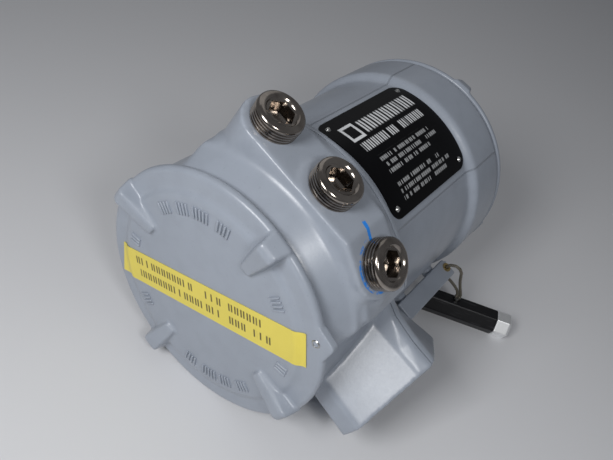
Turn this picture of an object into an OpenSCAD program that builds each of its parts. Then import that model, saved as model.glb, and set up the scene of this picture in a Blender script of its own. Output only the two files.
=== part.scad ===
// Transmitter head of an ultrasonic flow meter: a two-compartment cast enclosure with screwed
// covers at both ends, a side row of plugged cable entries, a data plate and a faceted neck.
// It lies on its side, as it does on a bench, with the neck low on the right.

/* [Enclosure] */
// Length over the two cover rims
total_l = 222; // [212:1:240]
// Radius of the cover rims and of the display end flange
cover_r = 76; // [75:0.5:78]
// Radius of the wiring compartment behind its cover
body_r = 72.5; // [71:0.5:73]
// Radius of the electronics barrel
barrel_r = 71; // [70:0.5:72]
// Place of the joint between the two castings, from the wiring cover rim
seam_z = 66; // [64:1:70]
// Radius of both screwed bores
bore_r = 62; // [60:0.5:62]
// Depth of the screwed bores
bore_depth = 20; // [18:1:22]
// Radius inside both compartments
chamber_r = 59; // [57:0.5:59]
// Floor of the wiring compartment, from the wiring cover rim
floor_z = 48; // [44:1:49]
// Thickness of the wall between the compartments
bulkhead_t = 9; // [8:1:10]
// Length of the thick flange at the display end
flange_l = 37; // [30:1:40]

/* [Covers] */
// Height of a cover rim
rim_t = 7; // [6.5:0.5:8]
// Gap seen between a cover rim and its casting
rim_gap = 1.2; // [0.8:0.1:1.6]
// Depth of the flat face below the rim
dish_depth = 4; // [3:0.5:4]
// Radius of the flat face
dish_r = 50; // [48:1:54]
// Plate thickness of the flat face
plate_t = 5; // [4:0.5:6]
// Length of the screwed skirt behind the rim
skirt_l = 15; // [12:1:16]
// Wall of the screwed skirt
skirt_wall = 5; // [4:0.5:6]
// Number of wrench lugs on each cover
lug_count = 4; // [2:1:6]
// Height of a wrench lug above the rim
lug_h = 6.5; // [5:0.5:8]
// Width of a wrench lug at the rim
lug_w = 14; // [10:1:18]
// Radius of the ear that holds the lock screw
ear_r = 9; // [8:0.5:10]
// Radius of the lock screws
lock_r = 2; // [1.5:0.25:2.5]
// Radius of the display window opening
window_r = 40; // [36:1:42]
// Thickness of the window glass
glass_t = 8; // [6:0.5:9]

/* [Cable entries] */
// Radius of the plug and its entry, three quarter inch pipe size
plug_r = 13.3; // [12:0.1:13.5]
// How far the plug ends stand out of their entries
plug_proud = 10; // [7:0.5:12]
// Turn of the lower entry from the other two
lower_angle = 28; // [27:0.5:32]
// Distance between the two parallel entries
plug_pitch = 43; // [41:0.5:44]
// Place of the entries, from the wiring cover rim
plug_z = 41; // [39:0.5:42]
// Radius of the raised ring round each entry
port_r = 17.5; // [16:0.5:18]
// Width across the flats of the hexagon socket
socket_af = 13; // [11:0.5:14]

/* [Port band] */
// Radius of the thick band that carries the entries
band_r = 84; // [82:0.5:85]
// Start of the band, from the wiring cover rim
band_z = 26; // [25:0.5:28]
// Half width of the band across the enclosure
band_half = 62; // [58:1:64]
// Corner radius of the band
band_corner = 16; // [12:1:20]
// Length of the matching lip on the electronics casting
lip_l = 5; // [4:0.5:7]

/* [Neck] */
// Distance of the neck's end face from the enclosure axis
neck_l = 106; // [102:1:110]
// Half width of the neck across the joint of the castings
neck_half = 37; // [35:0.5:39]
// Half length of the neck along the enclosure
neck_reach = 46; // [44:0.5:48]
// Half width of the narrow front and back facets
neck_nose = 9; // [8:0.5:11]
// Radius of the adapter seated in the neck
adapter_r = 22; // [21:0.5:23]
// Radius of the stem socket, one inch pipe size
stem_r = 16.7; // [15:0.1:17]
// Depth of the stem socket
stem_depth = 24; // [20:1:26]

/* [Data plate] */
// Width of the data plate, straight across
plate_w = 70; // [66:1:74]
// Start of the data plate, from the wiring cover rim
plate_z = 85; // [83:1:88]
// Gap between the data plate and the display end flange
plate_gap = 1.8; // [1:0.2:8]
// Width of the strip label on the wiring cover
strip_w = 23.5; // [16:0.5:24]
// Length of the strip label
strip_l = 134; // [120:1:136]

/* [Lanyard and stylus] */
// Diameter of the lanyard wire
wire_d = 2.2; // [1.6:0.1:2.3]
// Width of the flat lanyard bar
bar_w = 11; // [9:0.5:12]
// Thickness of the lanyard bar
bar_t = 3; // [2.5:0.25:3.5]
// Width across the flats of the stylus
stylus_af = 16.5; // [15:0.5:18]
// Length of the stylus handle
stylus_l = 57; // [50:1:62]
// Length of the magnet cap
magnet_l = 11; // [9:0.5:13]

/* [Hidden] */
$fn = 64;

// One overrun serves every cut
overrun = 1;
// Running fit of turned and screwed pieces, on the radius
fit = 0.05;
// Loose clearance of screws and boards
play = 0.3;
// Half of the gap that the gasket fills between the castings
seam_half = 0.4;
// Small edge break on castings
edge_r = 1.5;
// Pieces along the wiring bore, measured from the wiring cover rim
cast_z = rim_t + rim_gap;
far_cast_z = total_l - cast_z;
far_flange_z = far_cast_z - flange_l;
plate_end_z = far_flange_z - plate_gap;
plate_l = plate_end_z - plate_z;
bulkhead_z = floor_z + bulkhead_t;
inner_plate_z = dish_depth + plate_t;

// Roll that lays both rims and the neck's corner on the bench
lay_tilt = atan2(neck_half, neck_l) + acos(cover_r / norm([neck_half, neck_l]));
// Shift that centres the whole piece over its origin
origin_x = -18;
origin_y = -111;

// Cover details
rim_round = 2.6;
rim_taper = 1;
crest_w = 9;
crest_in_r = cover_r - crest_w;
lug_in_r = 46;
lug_reach = 1;
lug_out_r = cover_r + lug_reach;
lug_tip_w = 8.5;
lug_tip_z = -1.5;
lug_round = 2;
lug_draft = 0.8;
near_lug_angle = 4;
far_lug_angle = -8;
near_ear_angle = 46;
far_ear_angle = 214;
lock_inset = 4;
lock_pcr = cover_r - lock_inset;
ear_z = 1.4;
ear_root_r = 8;
ear_root_h = 1;
lock_socket_af = 2.2;
lock_socket_d = 2.5;
oring_r = 66;
oring_cord = 1.6;
oring_groove_h = 2.6;
oring_squash = 0.2;
skirt_r = bore_r - fit;
skirt_in_r = skirt_r - skirt_wall;
skirt_end_z = rim_t + skirt_l;
undercut = 0.8;
undercut_l = 2;

// Window stack, from the display cover rim inwards
gasket_t = 0.8;
window_lip = 4;
glass_seat = 6;
glass_r = window_r + glass_seat;
pocket_r = glass_r + play;
window_z = dish_depth + window_lip;
glass_z = window_z + gasket_t;
pocket_end_z = glass_z + glass_t;
retainer_t = 3;
retainer_step = 1;
retainer_in_r = window_r + retainer_step;
retainer_r = skirt_in_r - play;
retainer_screw_r = 1.5;
retainer_head_r = 2.6;
retainer_head_h = 2;
retainer_pcr = 51;
retainer_count = 4;
retainer_screw_l = 8;

// Entry details
plug_l = 24;
plug_chamfer = 1.5;
port_root_gap = 29;
plug_bore_gap = 23;
port_root_r = chamber_r - port_root_gap;
plug_bore_r = chamber_r - plug_bore_gap;
// Each entry's side shift, turn and face distance from the enclosure axis
port_shift = [-plug_pitch - 1, -1, 0];
port_angles = [0, 0, lower_angle];
port_face = [83, 85, 87.5];
socket_depth = 11;
socket_r = socket_af / sqrt(3);
band_round = 3;
band_slope_l = 5;

// Neck details
neck_side = 5;
neck_top = 50;
neck_top_share = 0.93;
neck_rear_share = 0.62;
neck_edge_r = 3;
neck_rear_edge_r = 7;
neck_disc = 1;
adapter_l = 28;
adapter_wall_r = 10;
cavity_r = 18;
cavity_gap = 5;
cavity_y = neck_l - adapter_l - cavity_gap;
passage_r = 6;
passage_inset = 10;
passage_z = seam_z + passage_inset;

// Casting joint details
spigot_step = 1.4;
spigot_wall = 5.4;
spigot_l = 8;
spigot_r = chamber_r + spigot_step;
spigot_in_r = spigot_r - spigot_wall;
spigot_root_z = seam_z + spigot_l;
bolt_r = 4;
bolt_pcr = 50;
bolt_head_r = 6.5;
bolt_head_h = 8;
bolt_reach = 15;
bolt_end_z = seam_z + bolt_reach;
bolt_boss_r = 10;
bolt_socket_af = 6;
bolt_socket_d = 4;
bolt_angles = [55, 125, 235, 305];
gasket_inset = 1.2;
pad_rise = 0.6;
pad_half = 41;
pad_inset = 5;
pad_start = seam_z + lip_l + pad_inset;
lip_slope_l = 8;
flange_round = 2.5;

// Data plate details
plate_turn = -2.5;
sheet_t = 0.8;
plate_corner = 8;
rivet_r = 1.8;
rivet_h = 1;
rivet_inset = 6;
strip_t = 0.3;
strip_angle = 51.8;
strip_offset = 2.5;
strip_tail = 1;
strip_end_r = crest_in_r + strip_tail;

// Wiring compartment
board_t = 1.6;
board_rise = 8;
board_z = floor_z - board_rise;
board_w = 78;
board_h = 50;
board_y = -6;
post_r = 4;
post_inset = 5;
board_screw_l = 7;
m3_r = 1.5;
m3_head_r = 2.8;
m3_head_h = 2;
header_w = 62;
header_d = 11;
header_h = 10;
header_y = -20;
plug_block_w = 28;
plug_block_h = 10;
plug_gap = 2;
poles = 6;
wire_hole_r = 1.5;
wire_hole_depth = 7;
pole_screw_r = 1.7;
power_w = 40;
power_d = 14;
power_h = 9;
power_y = 8;
fin_t = 1.6;
fin_h = 5;
power_poles = 3;
ground_r = 2.5;
ground_head_r = 5;
ground_head_h = 4;
ground_x = -50;
ground_y = 0;
ground_l = 6;
feed_r = 10;
feed_flange_r = 13;
feed_flange_h = 3;
feed_y = 34;
feed_end = 4;
pin_r = 0.8;
pin_l = 4;
pin_ring_r = 5;
pin_count = 8;

// Electronics compartment
chassis_z = 100;
chassis_t = 2;
chassis_gap = 1.5;
chassis_r = chamber_r - chassis_gap;
chassis_screw_l = 8;
deck_r = 50;
deck_flat = 40;
pillar_r = 3;
pillar_pcr = 43;
pillar_angles = [20, 160, 200, 340];
power_deck_z = 116;
main_deck_z = 146;
display_deck_z = 176;
lcd_w = 64;
lcd_h = 36;
lcd_t = 7;
lcd_y = -8;
bezel_z = 186;
bezel_t = 3;
bezel_gap = 2;
bezel_r = skirt_in_r - bezel_gap;
view_w = 56;
view_h = 28;
key_r = 4;
key_d = 1;
key_pitch = 14;
key_y = 24;
keys = 4;
chip_w = 14;
chip_h = 2.4;
can_r = 6;
can_h = 12;
can_pitch = 12;
coil_w = 28;
coil_d = 21;
strip_socket_w = 42;
strip_socket_h = 6;
strip_socket_y = 28;

// Lanyard and stylus, the stylus lying on the bench
bar_x = 1.5;
bar_stand = 5.5;
bar_y = barrel_r + bar_stand;
bar_start_z = 107.5;
bar_end_z = 171;
bar_lug_z = [118, 156];
bar_lug_w = 7;
bar_lug_t = 7;
bar_screw_r = 1.5;
bar_screw_head_r = 2.8;
bar_screw_head_h = 2;
hole_inset_y = 4;
hole_inset_z = 4;
bar_hole_r = 2.2;
grommet_r = 3.2;
grommet_t = 0.8;
grommet_in_r = 1.6;
stylus_angle = 21.5;
stylus_x = 68;
stylus_y = 170.6;
hex_r = stylus_af / sqrt(3);
magnet_round = 1.5;
crimp_s = 24.8;
crimp_t = 1.5;
crimp_r = 2.6;
crimp_l = 5;
wire_sides = 8;
// Route of the lanyard wire before the origin shift, from the crimp up through the bar's hole,
// over the bar's edge and back to the crimp
wire_route = [[89.4, 180.7, 19], [89.4, 180.7, 21.5], [88, 179.2, 25.6], [85.4, 176.8, 29.8],
  [82.4, 174, 33.8], [79.2, 171.2, 37.4], [76.2, 168.8, 41], [74.4, 167.3, 44.6], [75.6, 167.1, 48.4],
  [77.6, 167, 52], [81, 167.4, 53.6], [84.4, 168.4, 52.4], [86.4, 169.8, 49], [87, 171.2, 44.8],
  [87.6, 172.8, 40.4], [88.4, 174.8, 35.8], [89.4, 176.8, 31.2], [90.6, 179, 26.4],
  [91.6, 181.5, 21.5], [91.6, 181.5, 19]];

// Stands a piece drawn along its own axis into the lying pose of the enclosure
module lay() {
  translate([origin_x, origin_y, cover_r])
    rotate([0, -lay_tilt, 0])
      rotate([-90, 0, 0])
        children();
}

// Turns a piece drawn from the wiring end round to the display end
module far_end() {
  translate([0, 0, total_l])
    mirror([0, 0, 1])
      children();
}

// Stands a piece up along the radius at an angle and a place on the axis
module radial(angle, z) {
  rotate([0, 0, angle])
    translate([0, 0, z])
      rotate([0, 90, 0])
        children();
}

// Points a piece out through one of the cable entries
module entry(i) {
  rotate([0, 0, port_angles[i]])
    translate([0, port_shift[i], plug_z])
      rotate([0, 90, 0])
        children();
}

// Points a piece down the neck at a place on the axis
module down_neck(y, z) {
  translate([0, y, z])
    rotate([-90, 0, 0])
      children();
}

module ring(r_out, r_in, z, h) {
  translate([0, 0, z])
    difference() {
      cylinder(r = r_out, h = h);
      translate([0, 0, -overrun])
        cylinder(r = r_in, h = h + 2 * overrun);
    }
}

// A flat block rounded in plan, drawn along +X with its outline across Y and Z
module side_block(half_y, z0, z1, corner, depth) {
  translate([0, 0, (z0 + z1) / 2])
    rotate([90, 0, 90])
      linear_extrude(depth)
        rounded_rect(2 * half_y, z1 - z0, corner);
}

module rounded_rect(w, h, r) {
  square([w - 2 * r, h], center = true);
  square([w, h - 2 * r], center = true);
  for (sx = [-1, 1], sy = [-1, 1])
    translate([sx * (w / 2 - r), sy * (h / 2 - r)])
      circle(r = r);
}

module box(w, d, h, x, y, z) {
  translate([x - w / 2, y - d / 2, z])
    cube([w, d, h]);
}

// Covers

module cover_blank() {
  rotate_extrude()
    polygon([[0, dish_depth], [dish_r, dish_depth], [crest_in_r, 0], [cover_r - rim_round, 0],
      [cover_r, rim_round], [cover_r - rim_taper, rim_t], [skirt_r - undercut, rim_t],
      [skirt_r - undercut, rim_t + undercut_l],
      [skirt_r, rim_t + undercut_l + undercut], [skirt_r, skirt_end_z - undercut],
      [skirt_r - undercut, skirt_end_z], [skirt_in_r, skirt_end_z], [skirt_in_r, inner_plate_z],
      [0, inner_plate_z]]);
}

// One wrench lug, wide and tall at the rim, rounded over and spread at its foot
module cover_lug() {
  half_in = lug_tip_w / 2 - lug_round;
  half_out = lug_w / 2 - lug_round;
  hull()
    for (s = [-1, 1]) {
      lug_ball(lug_in_r + lug_round, s * half_in, lug_tip_z + lug_round);
      lug_ball(lug_out_r - 2 * lug_round, s * half_out, lug_round - lug_h);
      lug_ball(lug_in_r, s * (half_in + lug_draft), dish_depth);
      lug_ball(lug_out_r - lug_round, s * (half_out + lug_draft), dish_depth);
    }
}

module lug_ball(x, y, z) {
  translate([x, y, z])
    sphere(r = lug_round, $fn = 24);
}

module cover_body(lug_angle, ear_angle) {
  difference() {
    union() {
      cover_blank();
      for (i = [0 : lug_count - 1])
        rotate([0, 0, lug_angle + i * 360 / lug_count])
          cover_lug();
      rotate([0, 0, ear_angle])
        hull() {
          translate([lock_pcr, 0, ear_z])
            cylinder(r = ear_r, h = rim_t - ear_z, $fn = 32);
          translate([dish_r, 0, rim_t - ear_root_h])
            cylinder(r = ear_root_r, h = ear_root_h, $fn = 32);
        }
    }
    ring(oring_r + oring_cord + play, oring_r - oring_cord - play, rim_t - oring_groove_h,
      oring_groove_h + overrun);
    rotate([0, 0, ear_angle])
      translate([lock_pcr, 0, -overrun])
        cylinder(r = lock_r + fit, h = cast_z + 2 * overrun);
  }
}

module oring() {
  translate([0, 0, cast_z - oring_cord - oring_squash])
    rotate_extrude()
      translate([oring_r, 0])
        circle(r = oring_cord);
}

module lock_screw(angle) {
  rotate([0, 0, angle])
    translate([lock_pcr, 0, ear_z])
      difference() {
        cylinder(r = lock_r, h = cast_z - play - ear_z);
        translate([0, 0, -overrun])
          cylinder(r = lock_socket_af / sqrt(3), h = lock_socket_d + overrun, $fn = 6);
      }
}

module wiring_cover() {
  color("slategray") lay()
    cover_body(near_lug_angle, near_ear_angle);
}

module wiring_cover_oring() {
  color("black") lay()
    oring();
}

module wiring_cover_lock_screw() {
  color("dimgray") lay()
    lock_screw(near_ear_angle);
}

module strip_label() {
  color("gold") lay()
    intersection() {
      rotate_extrude()
        polygon([[0, dish_depth - strip_t], [dish_r, dish_depth - strip_t],
          [crest_in_r, -strip_t], [strip_end_r, -strip_t], [strip_end_r, 0], [crest_in_r, 0],
          [dish_r, dish_depth], [0, dish_depth]]);
      rotate([0, 0, strip_angle])
        box(strip_l, strip_w, 2 * dish_depth, 0, strip_offset, -dish_depth);
    }
}

module display_cover() {
  color("slategray") lay() far_end()
    difference() {
      union() {
        cover_body(far_lug_angle, far_ear_angle);
        ring(skirt_in_r + overrun, pocket_r, dish_depth + overrun, pocket_end_z - dish_depth - overrun);
      }
      translate([0, 0, -overrun])
        cylinder(r = window_r, h = skirt_end_z);
      translate([0, 0, window_z])
        cylinder(r = pocket_r, h = skirt_end_z);
      for (i = [0 : retainer_count - 1])
        rotate([0, 0, i * 360 / retainer_count])
          translate([retainer_pcr, 0, pocket_end_z - retainer_screw_l + retainer_t])
            cylinder(r = retainer_screw_r + fit, h = retainer_screw_l);
    }
}

module display_cover_oring() {
  color("black") lay() far_end()
    oring();
}

module display_cover_lock_screw() {
  color("dimgray") lay() far_end()
    lock_screw(far_ear_angle);
}

module window_gasket() {
  color("black") lay() far_end()
    ring(glass_r, window_r + overrun, window_z, gasket_t);
}

module display_window() {
  color("lightcyan") lay() far_end()
    translate([0, 0, glass_z])
      cylinder(r = glass_r, h = glass_t);
}

module window_retainer() {
  color("silver") lay() far_end()
    difference() {
      ring(retainer_r, retainer_in_r, pocket_end_z, retainer_t);
      for (i = [0 : retainer_count - 1])
        rotate([0, 0, i * 360 / retainer_count])
          translate([retainer_pcr, 0, pocket_end_z - overrun])
            cylinder(r = retainer_screw_r + play, h = retainer_t + 2 * overrun);
    }
}

module retainer_screws() {
  color("gainsboro") lay() far_end()
    for (i = [0 : retainer_count - 1])
      rotate([0, 0, i * 360 / retainer_count])
        translate([retainer_pcr, 0, pocket_end_z + retainer_t])
          machine_screw(retainer_screw_r, retainer_screw_l, retainer_head_r, retainer_head_h);
}

// A screw whose head stands on the plane z = 0 and whose shank runs down from it
module machine_screw(r, l, head_r, head_h) {
  translate([0, 0, -l + fit])
    cylinder(r = r, h = l);
  difference() {
    cylinder(r = head_r, h = head_h);
    translate([0, 0, head_h / 2])
      cylinder(r = head_r / 2, h = head_h, $fn = 6);
  }
}

// Castings

// Half the outline of the neck at one level, as corner discs
module neck_level(y, side_share, nose_share, nose_r) {
  for (sx = [-1, 1], p = [[neck_nose, neck_reach, nose_r, nose_share],
    [neck_half, neck_side, neck_edge_r, side_share], [neck_half, -neck_side, neck_edge_r, side_share]])
    translate([sx * (p[0] - p[2]) * side_share, y, (p[1] - p[2]) * p[3]])
      rotate([-90, 0, 0])
        cylinder(r = p[2], h = neck_disc, $fn = 24);
}

// One half of the neck, its nose towards the display end
module neck_half_blank(nose_share, nose_r) {
  hull() {
    neck_level(neck_top, neck_top_share, nose_share, nose_r);
    neck_level(neck_l - neck_disc, 1, 1, nose_r);
  }
}

// Space inside the neck: the adapter's seat, the cavity over it and the wire passage
module neck_space() {
  down_neck(neck_l - adapter_l, seam_z)
    cylinder(r = adapter_r + fit, h = adapter_l + overrun);
  down_neck(cavity_y, seam_z)
    cylinder(r = cavity_r, h = neck_l - cavity_y);
  down_neck(chamber_r - overrun, passage_z)
    cylinder(r = passage_r, h = cavity_y - chamber_r + 2 * overrun);
}

module slab(z0, z1) {
  reach = 2 * neck_l;
  translate([-reach, -reach, z0])
    cube([2 * reach, 2 * reach, z1 - z0]);
}

module band(z0, z1) {
  intersection() {
    rotate_extrude()
      polygon([[0, band_z - band_slope_l], [body_r - edge_r, band_z - band_slope_l],
        [band_r - band_round, band_z], [band_r, band_z + band_round],
        [band_r, seam_z + lip_l - edge_r], [band_r - edge_r, seam_z + lip_l],
        [barrel_r, seam_z + lip_l + lip_slope_l], [0, seam_z + lip_l + lip_slope_l]]);
    side_block(band_half, band_z - band_slope_l, seam_z + lip_l + band_corner + lip_slope_l,
      band_corner, band_r);
    slab(z0, z1);
  }
}

module front_housing() {
  color("slategray") lay()
    difference() {
      union() {
        rotate_extrude()
          polygon([[0, cast_z], [body_r - edge_r, cast_z], [body_r, cast_z + edge_r],
            [body_r, seam_z - seam_half], [0, seam_z - seam_half]]);
        band(band_z - band_slope_l, seam_z - seam_half);
        for (i = [0 : 2])
          entry(i)
            translate([0, 0, port_root_r])
              cylinder(r = port_r, h = port_face[i] - port_root_r);
        intersection() {
          translate([0, 0, seam_z])
            mirror([0, 0, 1])
              neck_half_blank(neck_top_share, neck_edge_r);
          slab(cast_z, seam_z - seam_half);
        }
      }
      translate([0, 0, cast_z - overrun])
        cylinder(r = bore_r, h = bore_depth + overrun);
      difference() {
        translate([0, 0, cast_z])
          cylinder(r = chamber_r, h = floor_z - cast_z);
        board_posts();
      }
      translate([0, 0, bulkhead_z])
        cylinder(r = spigot_r + fit, h = seam_z);
      for (i = [0 : 2])
        entry(i)
          translate([0, 0, plug_bore_r])
            cylinder(r = plug_r + fit, h = port_face[i]);
      for (a = bolt_angles)
        rotate([0, 0, a])
          translate([bolt_pcr, 0, floor_z - overrun])
            cylinder(r = bolt_r + play, h = bulkhead_t + 2 * overrun);
      translate([0, feed_y, floor_z - overrun])
        cylinder(r = feed_r + fit, h = bulkhead_t + 2 * overrun);
      translate([ground_x, ground_y, floor_z - overrun])
        cylinder(r = ground_r + fit, h = ground_l + overrun);
      board_holes(board_z);
      neck_space();
    }
}

// Posts on the compartment floor that carry the terminal board
module board_posts() {
  for (sx = [-1, 1], sy = [-1, 1])
    translate([sx * (board_w / 2 - post_inset), board_y + sy * (board_h / 2 - post_inset),
      board_z + board_t])
      cylinder(r = post_r, h = floor_z - board_z);
}

module board_holes(z) {
  for (sx = [-1, 1], sy = [-1, 1])
    translate([sx * (board_w / 2 - post_inset), board_y + sy * (board_h / 2 - post_inset), z - overrun])
      cylinder(r = m3_r + fit, h = floor_z - board_z + overrun);
}

module rear_housing() {
  color("slategray") lay()
    difference() {
      union() {
        rotate_extrude()
          polygon([[0, seam_z + seam_half], [body_r, seam_z + seam_half], [body_r, seam_z + lip_l],
            [barrel_r, seam_z + lip_l + lip_slope_l / 2], [barrel_r, far_flange_z],
            [cover_r - flange_round, far_flange_z], [cover_r, far_flange_z + flange_round],
            [cover_r, far_cast_z - edge_r], [cover_r - edge_r, far_cast_z], [0, far_cast_z]]);
        band(seam_z + seam_half, seam_z + lip_l + lip_slope_l);
        rotate([0, 0, plate_turn])
          intersection() {
            cylinder(r = barrel_r + pad_rise, h = far_flange_z + overrun);
            side_block(pad_half, pad_start, far_flange_z + overrun, edge_r, cover_r);
          }
        intersection() {
          translate([0, 0, seam_z])
            neck_half_blank(neck_rear_share, neck_rear_edge_r);
          slab(seam_z + seam_half, total_l);
        }
        ring(spigot_r, spigot_in_r, bulkhead_z, spigot_root_z - bulkhead_z);
        for (z = bar_lug_z)
          box(bar_lug_t, bar_y + bar_w - bar_lug_t / 2 - chamber_r, bar_lug_w, bar_x - bar_lug_t / 2,
            (bar_y + bar_w - bar_lug_t / 2 + chamber_r) / 2, z - bar_lug_w / 2);
      }
      difference() {
        translate([0, 0, seam_z])
          cylinder(r = chamber_r, h = far_cast_z - seam_z);
        ring(spigot_r, spigot_in_r, bulkhead_z, spigot_root_z - bulkhead_z);
        bolt_bosses();
      }
      difference() {
        translate([0, 0, bulkhead_z - overrun])
          cylinder(r = spigot_in_r, h = seam_z - bulkhead_z + 2 * overrun);
        bolt_bosses();
      }
      translate([0, 0, far_cast_z - bore_depth])
        cylinder(r = bore_r, h = bore_depth + overrun);
      for (a = bolt_angles)
        rotate([0, 0, a])
          translate([bolt_pcr, 0, bulkhead_z - overrun])
            cylinder(r = bolt_r + fit, h = bolt_end_z - bulkhead_z + 2 * overrun);
      for (a = bolt_angles)
        rotate([0, 0, a])
          translate([bolt_pcr, 0, chassis_z - chassis_screw_l])
            cylinder(r = m3_r + fit, h = chassis_screw_l + overrun);
      for (z = bar_lug_z)
        translate([bar_x, bar_y + bar_w / 2, z])
          rotate([0, 90, 0])
            translate([0, 0, -bar_lug_t - overrun])
              cylinder(r = bar_screw_r + play, h = bar_lug_t + 2 * overrun);
      neck_space();
    }
}

// Bosses inside the barrel, tapped for the bolts at one end and for the chassis at the other
module bolt_bosses() {
  intersection() {
    for (a = bolt_angles)
      rotate([0, 0, a])
        translate([bolt_pcr, 0, bulkhead_z])
          cylinder(r = bolt_boss_r, h = chassis_z - bulkhead_z);
    translate([0, 0, bulkhead_z])
      cylinder(r = spigot_r, h = chassis_z - bulkhead_z);
  }
}

module seam_gasket() {
  color("black") lay()
    translate([0, 0, seam_z - seam_half])
      linear_extrude(2 * seam_half)
        difference() {
          union() {
            circle(r = body_r - gasket_inset);
            translate([-neck_half + gasket_inset, 0])
              square([2 * (neck_half - gasket_inset), neck_l - gasket_inset]);
          }
          circle(r = spigot_r + fit);
          translate([-adapter_r - fit, neck_l - adapter_l])
            square([2 * (adapter_r + fit), adapter_l]);
          translate([-cavity_r, cavity_y])
            square([2 * cavity_r, neck_l - cavity_y]);
        }
}

module housing_bolts() {
  color("silver") lay()
    for (a = bolt_angles)
      rotate([0, 0, a])
        translate([bolt_pcr, 0, floor_z - bolt_head_h])
          difference() {
            union() {
              cylinder(r = bolt_head_r, h = bolt_head_h);
              translate([0, 0, bolt_head_h])
                cylinder(r = bolt_r, h = bolt_end_z - floor_z);
            }
            translate([0, 0, -overrun])
              cylinder(r = bolt_socket_af / sqrt(3), h = bolt_socket_d + overrun, $fn = 6);
          }
}

module neck_adapter() {
  color("silver") lay()
    down_neck(neck_l - adapter_l, seam_z)
      difference() {
        cylinder(r = adapter_r, h = adapter_l);
        translate([0, 0, adapter_l - stem_depth])
          cylinder(r = stem_r, h = stem_depth + overrun);
        translate([0, 0, -overrun])
          cylinder(r = adapter_wall_r, h = adapter_l);
      }
}

module conduit_plug(i) {
  color("darkgray") lay()
    entry(i)
      translate([0, 0, port_face[i] + plug_proud - plug_l])
        difference() {
          union() {
            cylinder(r = plug_r, h = plug_l - plug_chamfer);
            translate([0, 0, plug_l - plug_chamfer])
              cylinder(r1 = plug_r, r2 = plug_r - plug_chamfer, h = plug_chamfer);
          }
          translate([0, 0, plug_l - socket_depth])
            cylinder(r = socket_r, h = socket_depth + overrun, $fn = 6);
        }
}

module conduit_plug_upper() {
  conduit_plug(0);
}

module conduit_plug_middle() {
  conduit_plug(1);
}

module conduit_plug_lower() {
  conduit_plug(2);
}

// Data plate

module data_plate() {
  color("black") lay() rotate([0, 0, plate_turn])
    difference() {
      intersection() {
        ring(barrel_r + pad_rise + sheet_t, barrel_r + pad_rise, plate_z, plate_l);
        side_block(plate_w / 2, plate_z, plate_end_z, plate_corner, 2 * barrel_r);
      }
      rivet_places()
        cylinder(r = rivet_r / 2 + fit, h = total_l);
    }
}

module rivet_places() {
  rivet_angle = asin((plate_w / 2 - rivet_inset) / barrel_r);
  for (a = [-rivet_angle, rivet_angle], z = [plate_z + rivet_inset, plate_end_z - rivet_inset])
    radial(a, z)
      children();
}

module data_plate_rivets() {
  color("silver") lay() rotate([0, 0, plate_turn])
    rivet_places() {
      translate([0, 0, barrel_r + pad_rise + fit])
        cylinder(r = rivet_r / 2, h = sheet_t);
      translate([0, 0, barrel_r + pad_rise + sheet_t + fit])
        cylinder(r1 = rivet_r, r2 = rivet_r / 2, h = rivet_h);
    }
}

// Wiring compartment pieces

module terminal_board() {
  color("darkgreen") lay()
    difference() {
      box(board_w, board_h, board_t, 0, board_y, board_z);
      board_holes(board_z);
    }
}

module terminal_board_screws() {
  color("silver") lay()
    for (sx = [-1, 1], sy = [-1, 1])
      translate([sx * (board_w / 2 - post_inset), board_y + sy * (board_h / 2 - post_inset), board_z])
        mirror([0, 0, 1])
          machine_screw(m3_r, board_screw_l, m3_head_r, m3_head_h);
}

module terminal_header() {
  color("black") lay()
    box(header_w, header_d, header_h, 0, header_y, board_z - header_h);
}

// A plug of screw terminals, with its wire mouths on one side and screws in front
module terminal_plug(side) {
  x = side * (plug_block_w + plug_gap) / 2;
  z = board_z - header_h - plug_block_h;
  pitch = plug_block_w / poles;
  difference() {
    box(plug_block_w, header_d, plug_block_h, x, header_y, z);
    for (i = [0 : poles - 1])
      translate([x - plug_block_w / 2 + pitch * (i + 0.5), header_y - header_d / 2, z + plug_block_h / 2]) {
        rotate([-90, 0, 0])
          translate([0, 0, -overrun])
            cylinder(r = wire_hole_r, h = wire_hole_depth);
        translate([0, header_d / 2, -plug_block_h / 2 - overrun])
          cylinder(r = pole_screw_r, h = 2 * overrun);
      }
  }
}

module terminal_plug_a() {
  color("limegreen") lay()
    terminal_plug(-1);
}

module terminal_plug_b() {
  color("limegreen") lay()
    terminal_plug(1);
}

module power_terminal() {
  pitch = power_w / power_poles;
  color("black") lay() {
    difference() {
      box(power_w, power_d, power_h, 0, power_y, board_z - power_h);
      for (i = [0 : power_poles - 1])
        translate([-power_w / 2 + pitch * (i + 0.5), power_y, board_z - power_h - overrun])
          cylinder(r = pole_screw_r, h = power_h / 2);
    }
    for (i = [0 : power_poles])
      box(fin_t, power_d, fin_h, (-power_w / 2 + fin_t / 2) + i * (power_w - fin_t) / power_poles,
        power_y, board_z - power_h - fin_h);
  }
}

module ground_screw() {
  color("goldenrod") lay()
    translate([ground_x, ground_y, floor_z])
      mirror([0, 0, 1])
        machine_screw(ground_r, ground_l, ground_head_r, ground_head_h);
}

module feedthrough() {
  color("dimgray") lay()
    translate([0, feed_y, floor_z]) {
      translate([0, 0, -feed_flange_h])
        cylinder(r = feed_flange_r, h = feed_flange_h);
      cylinder(r = feed_r, h = bulkhead_t + feed_end);
      for (i = [0 : pin_count - 1])
        rotate([0, 0, i * 360 / pin_count])
          translate([pin_ring_r, 0, -feed_flange_h - pin_l])
            cylinder(r = pin_r, h = bulkhead_t + feed_end + feed_flange_h + 2 * pin_l);
    }
}

// Electronics compartment pieces

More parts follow.
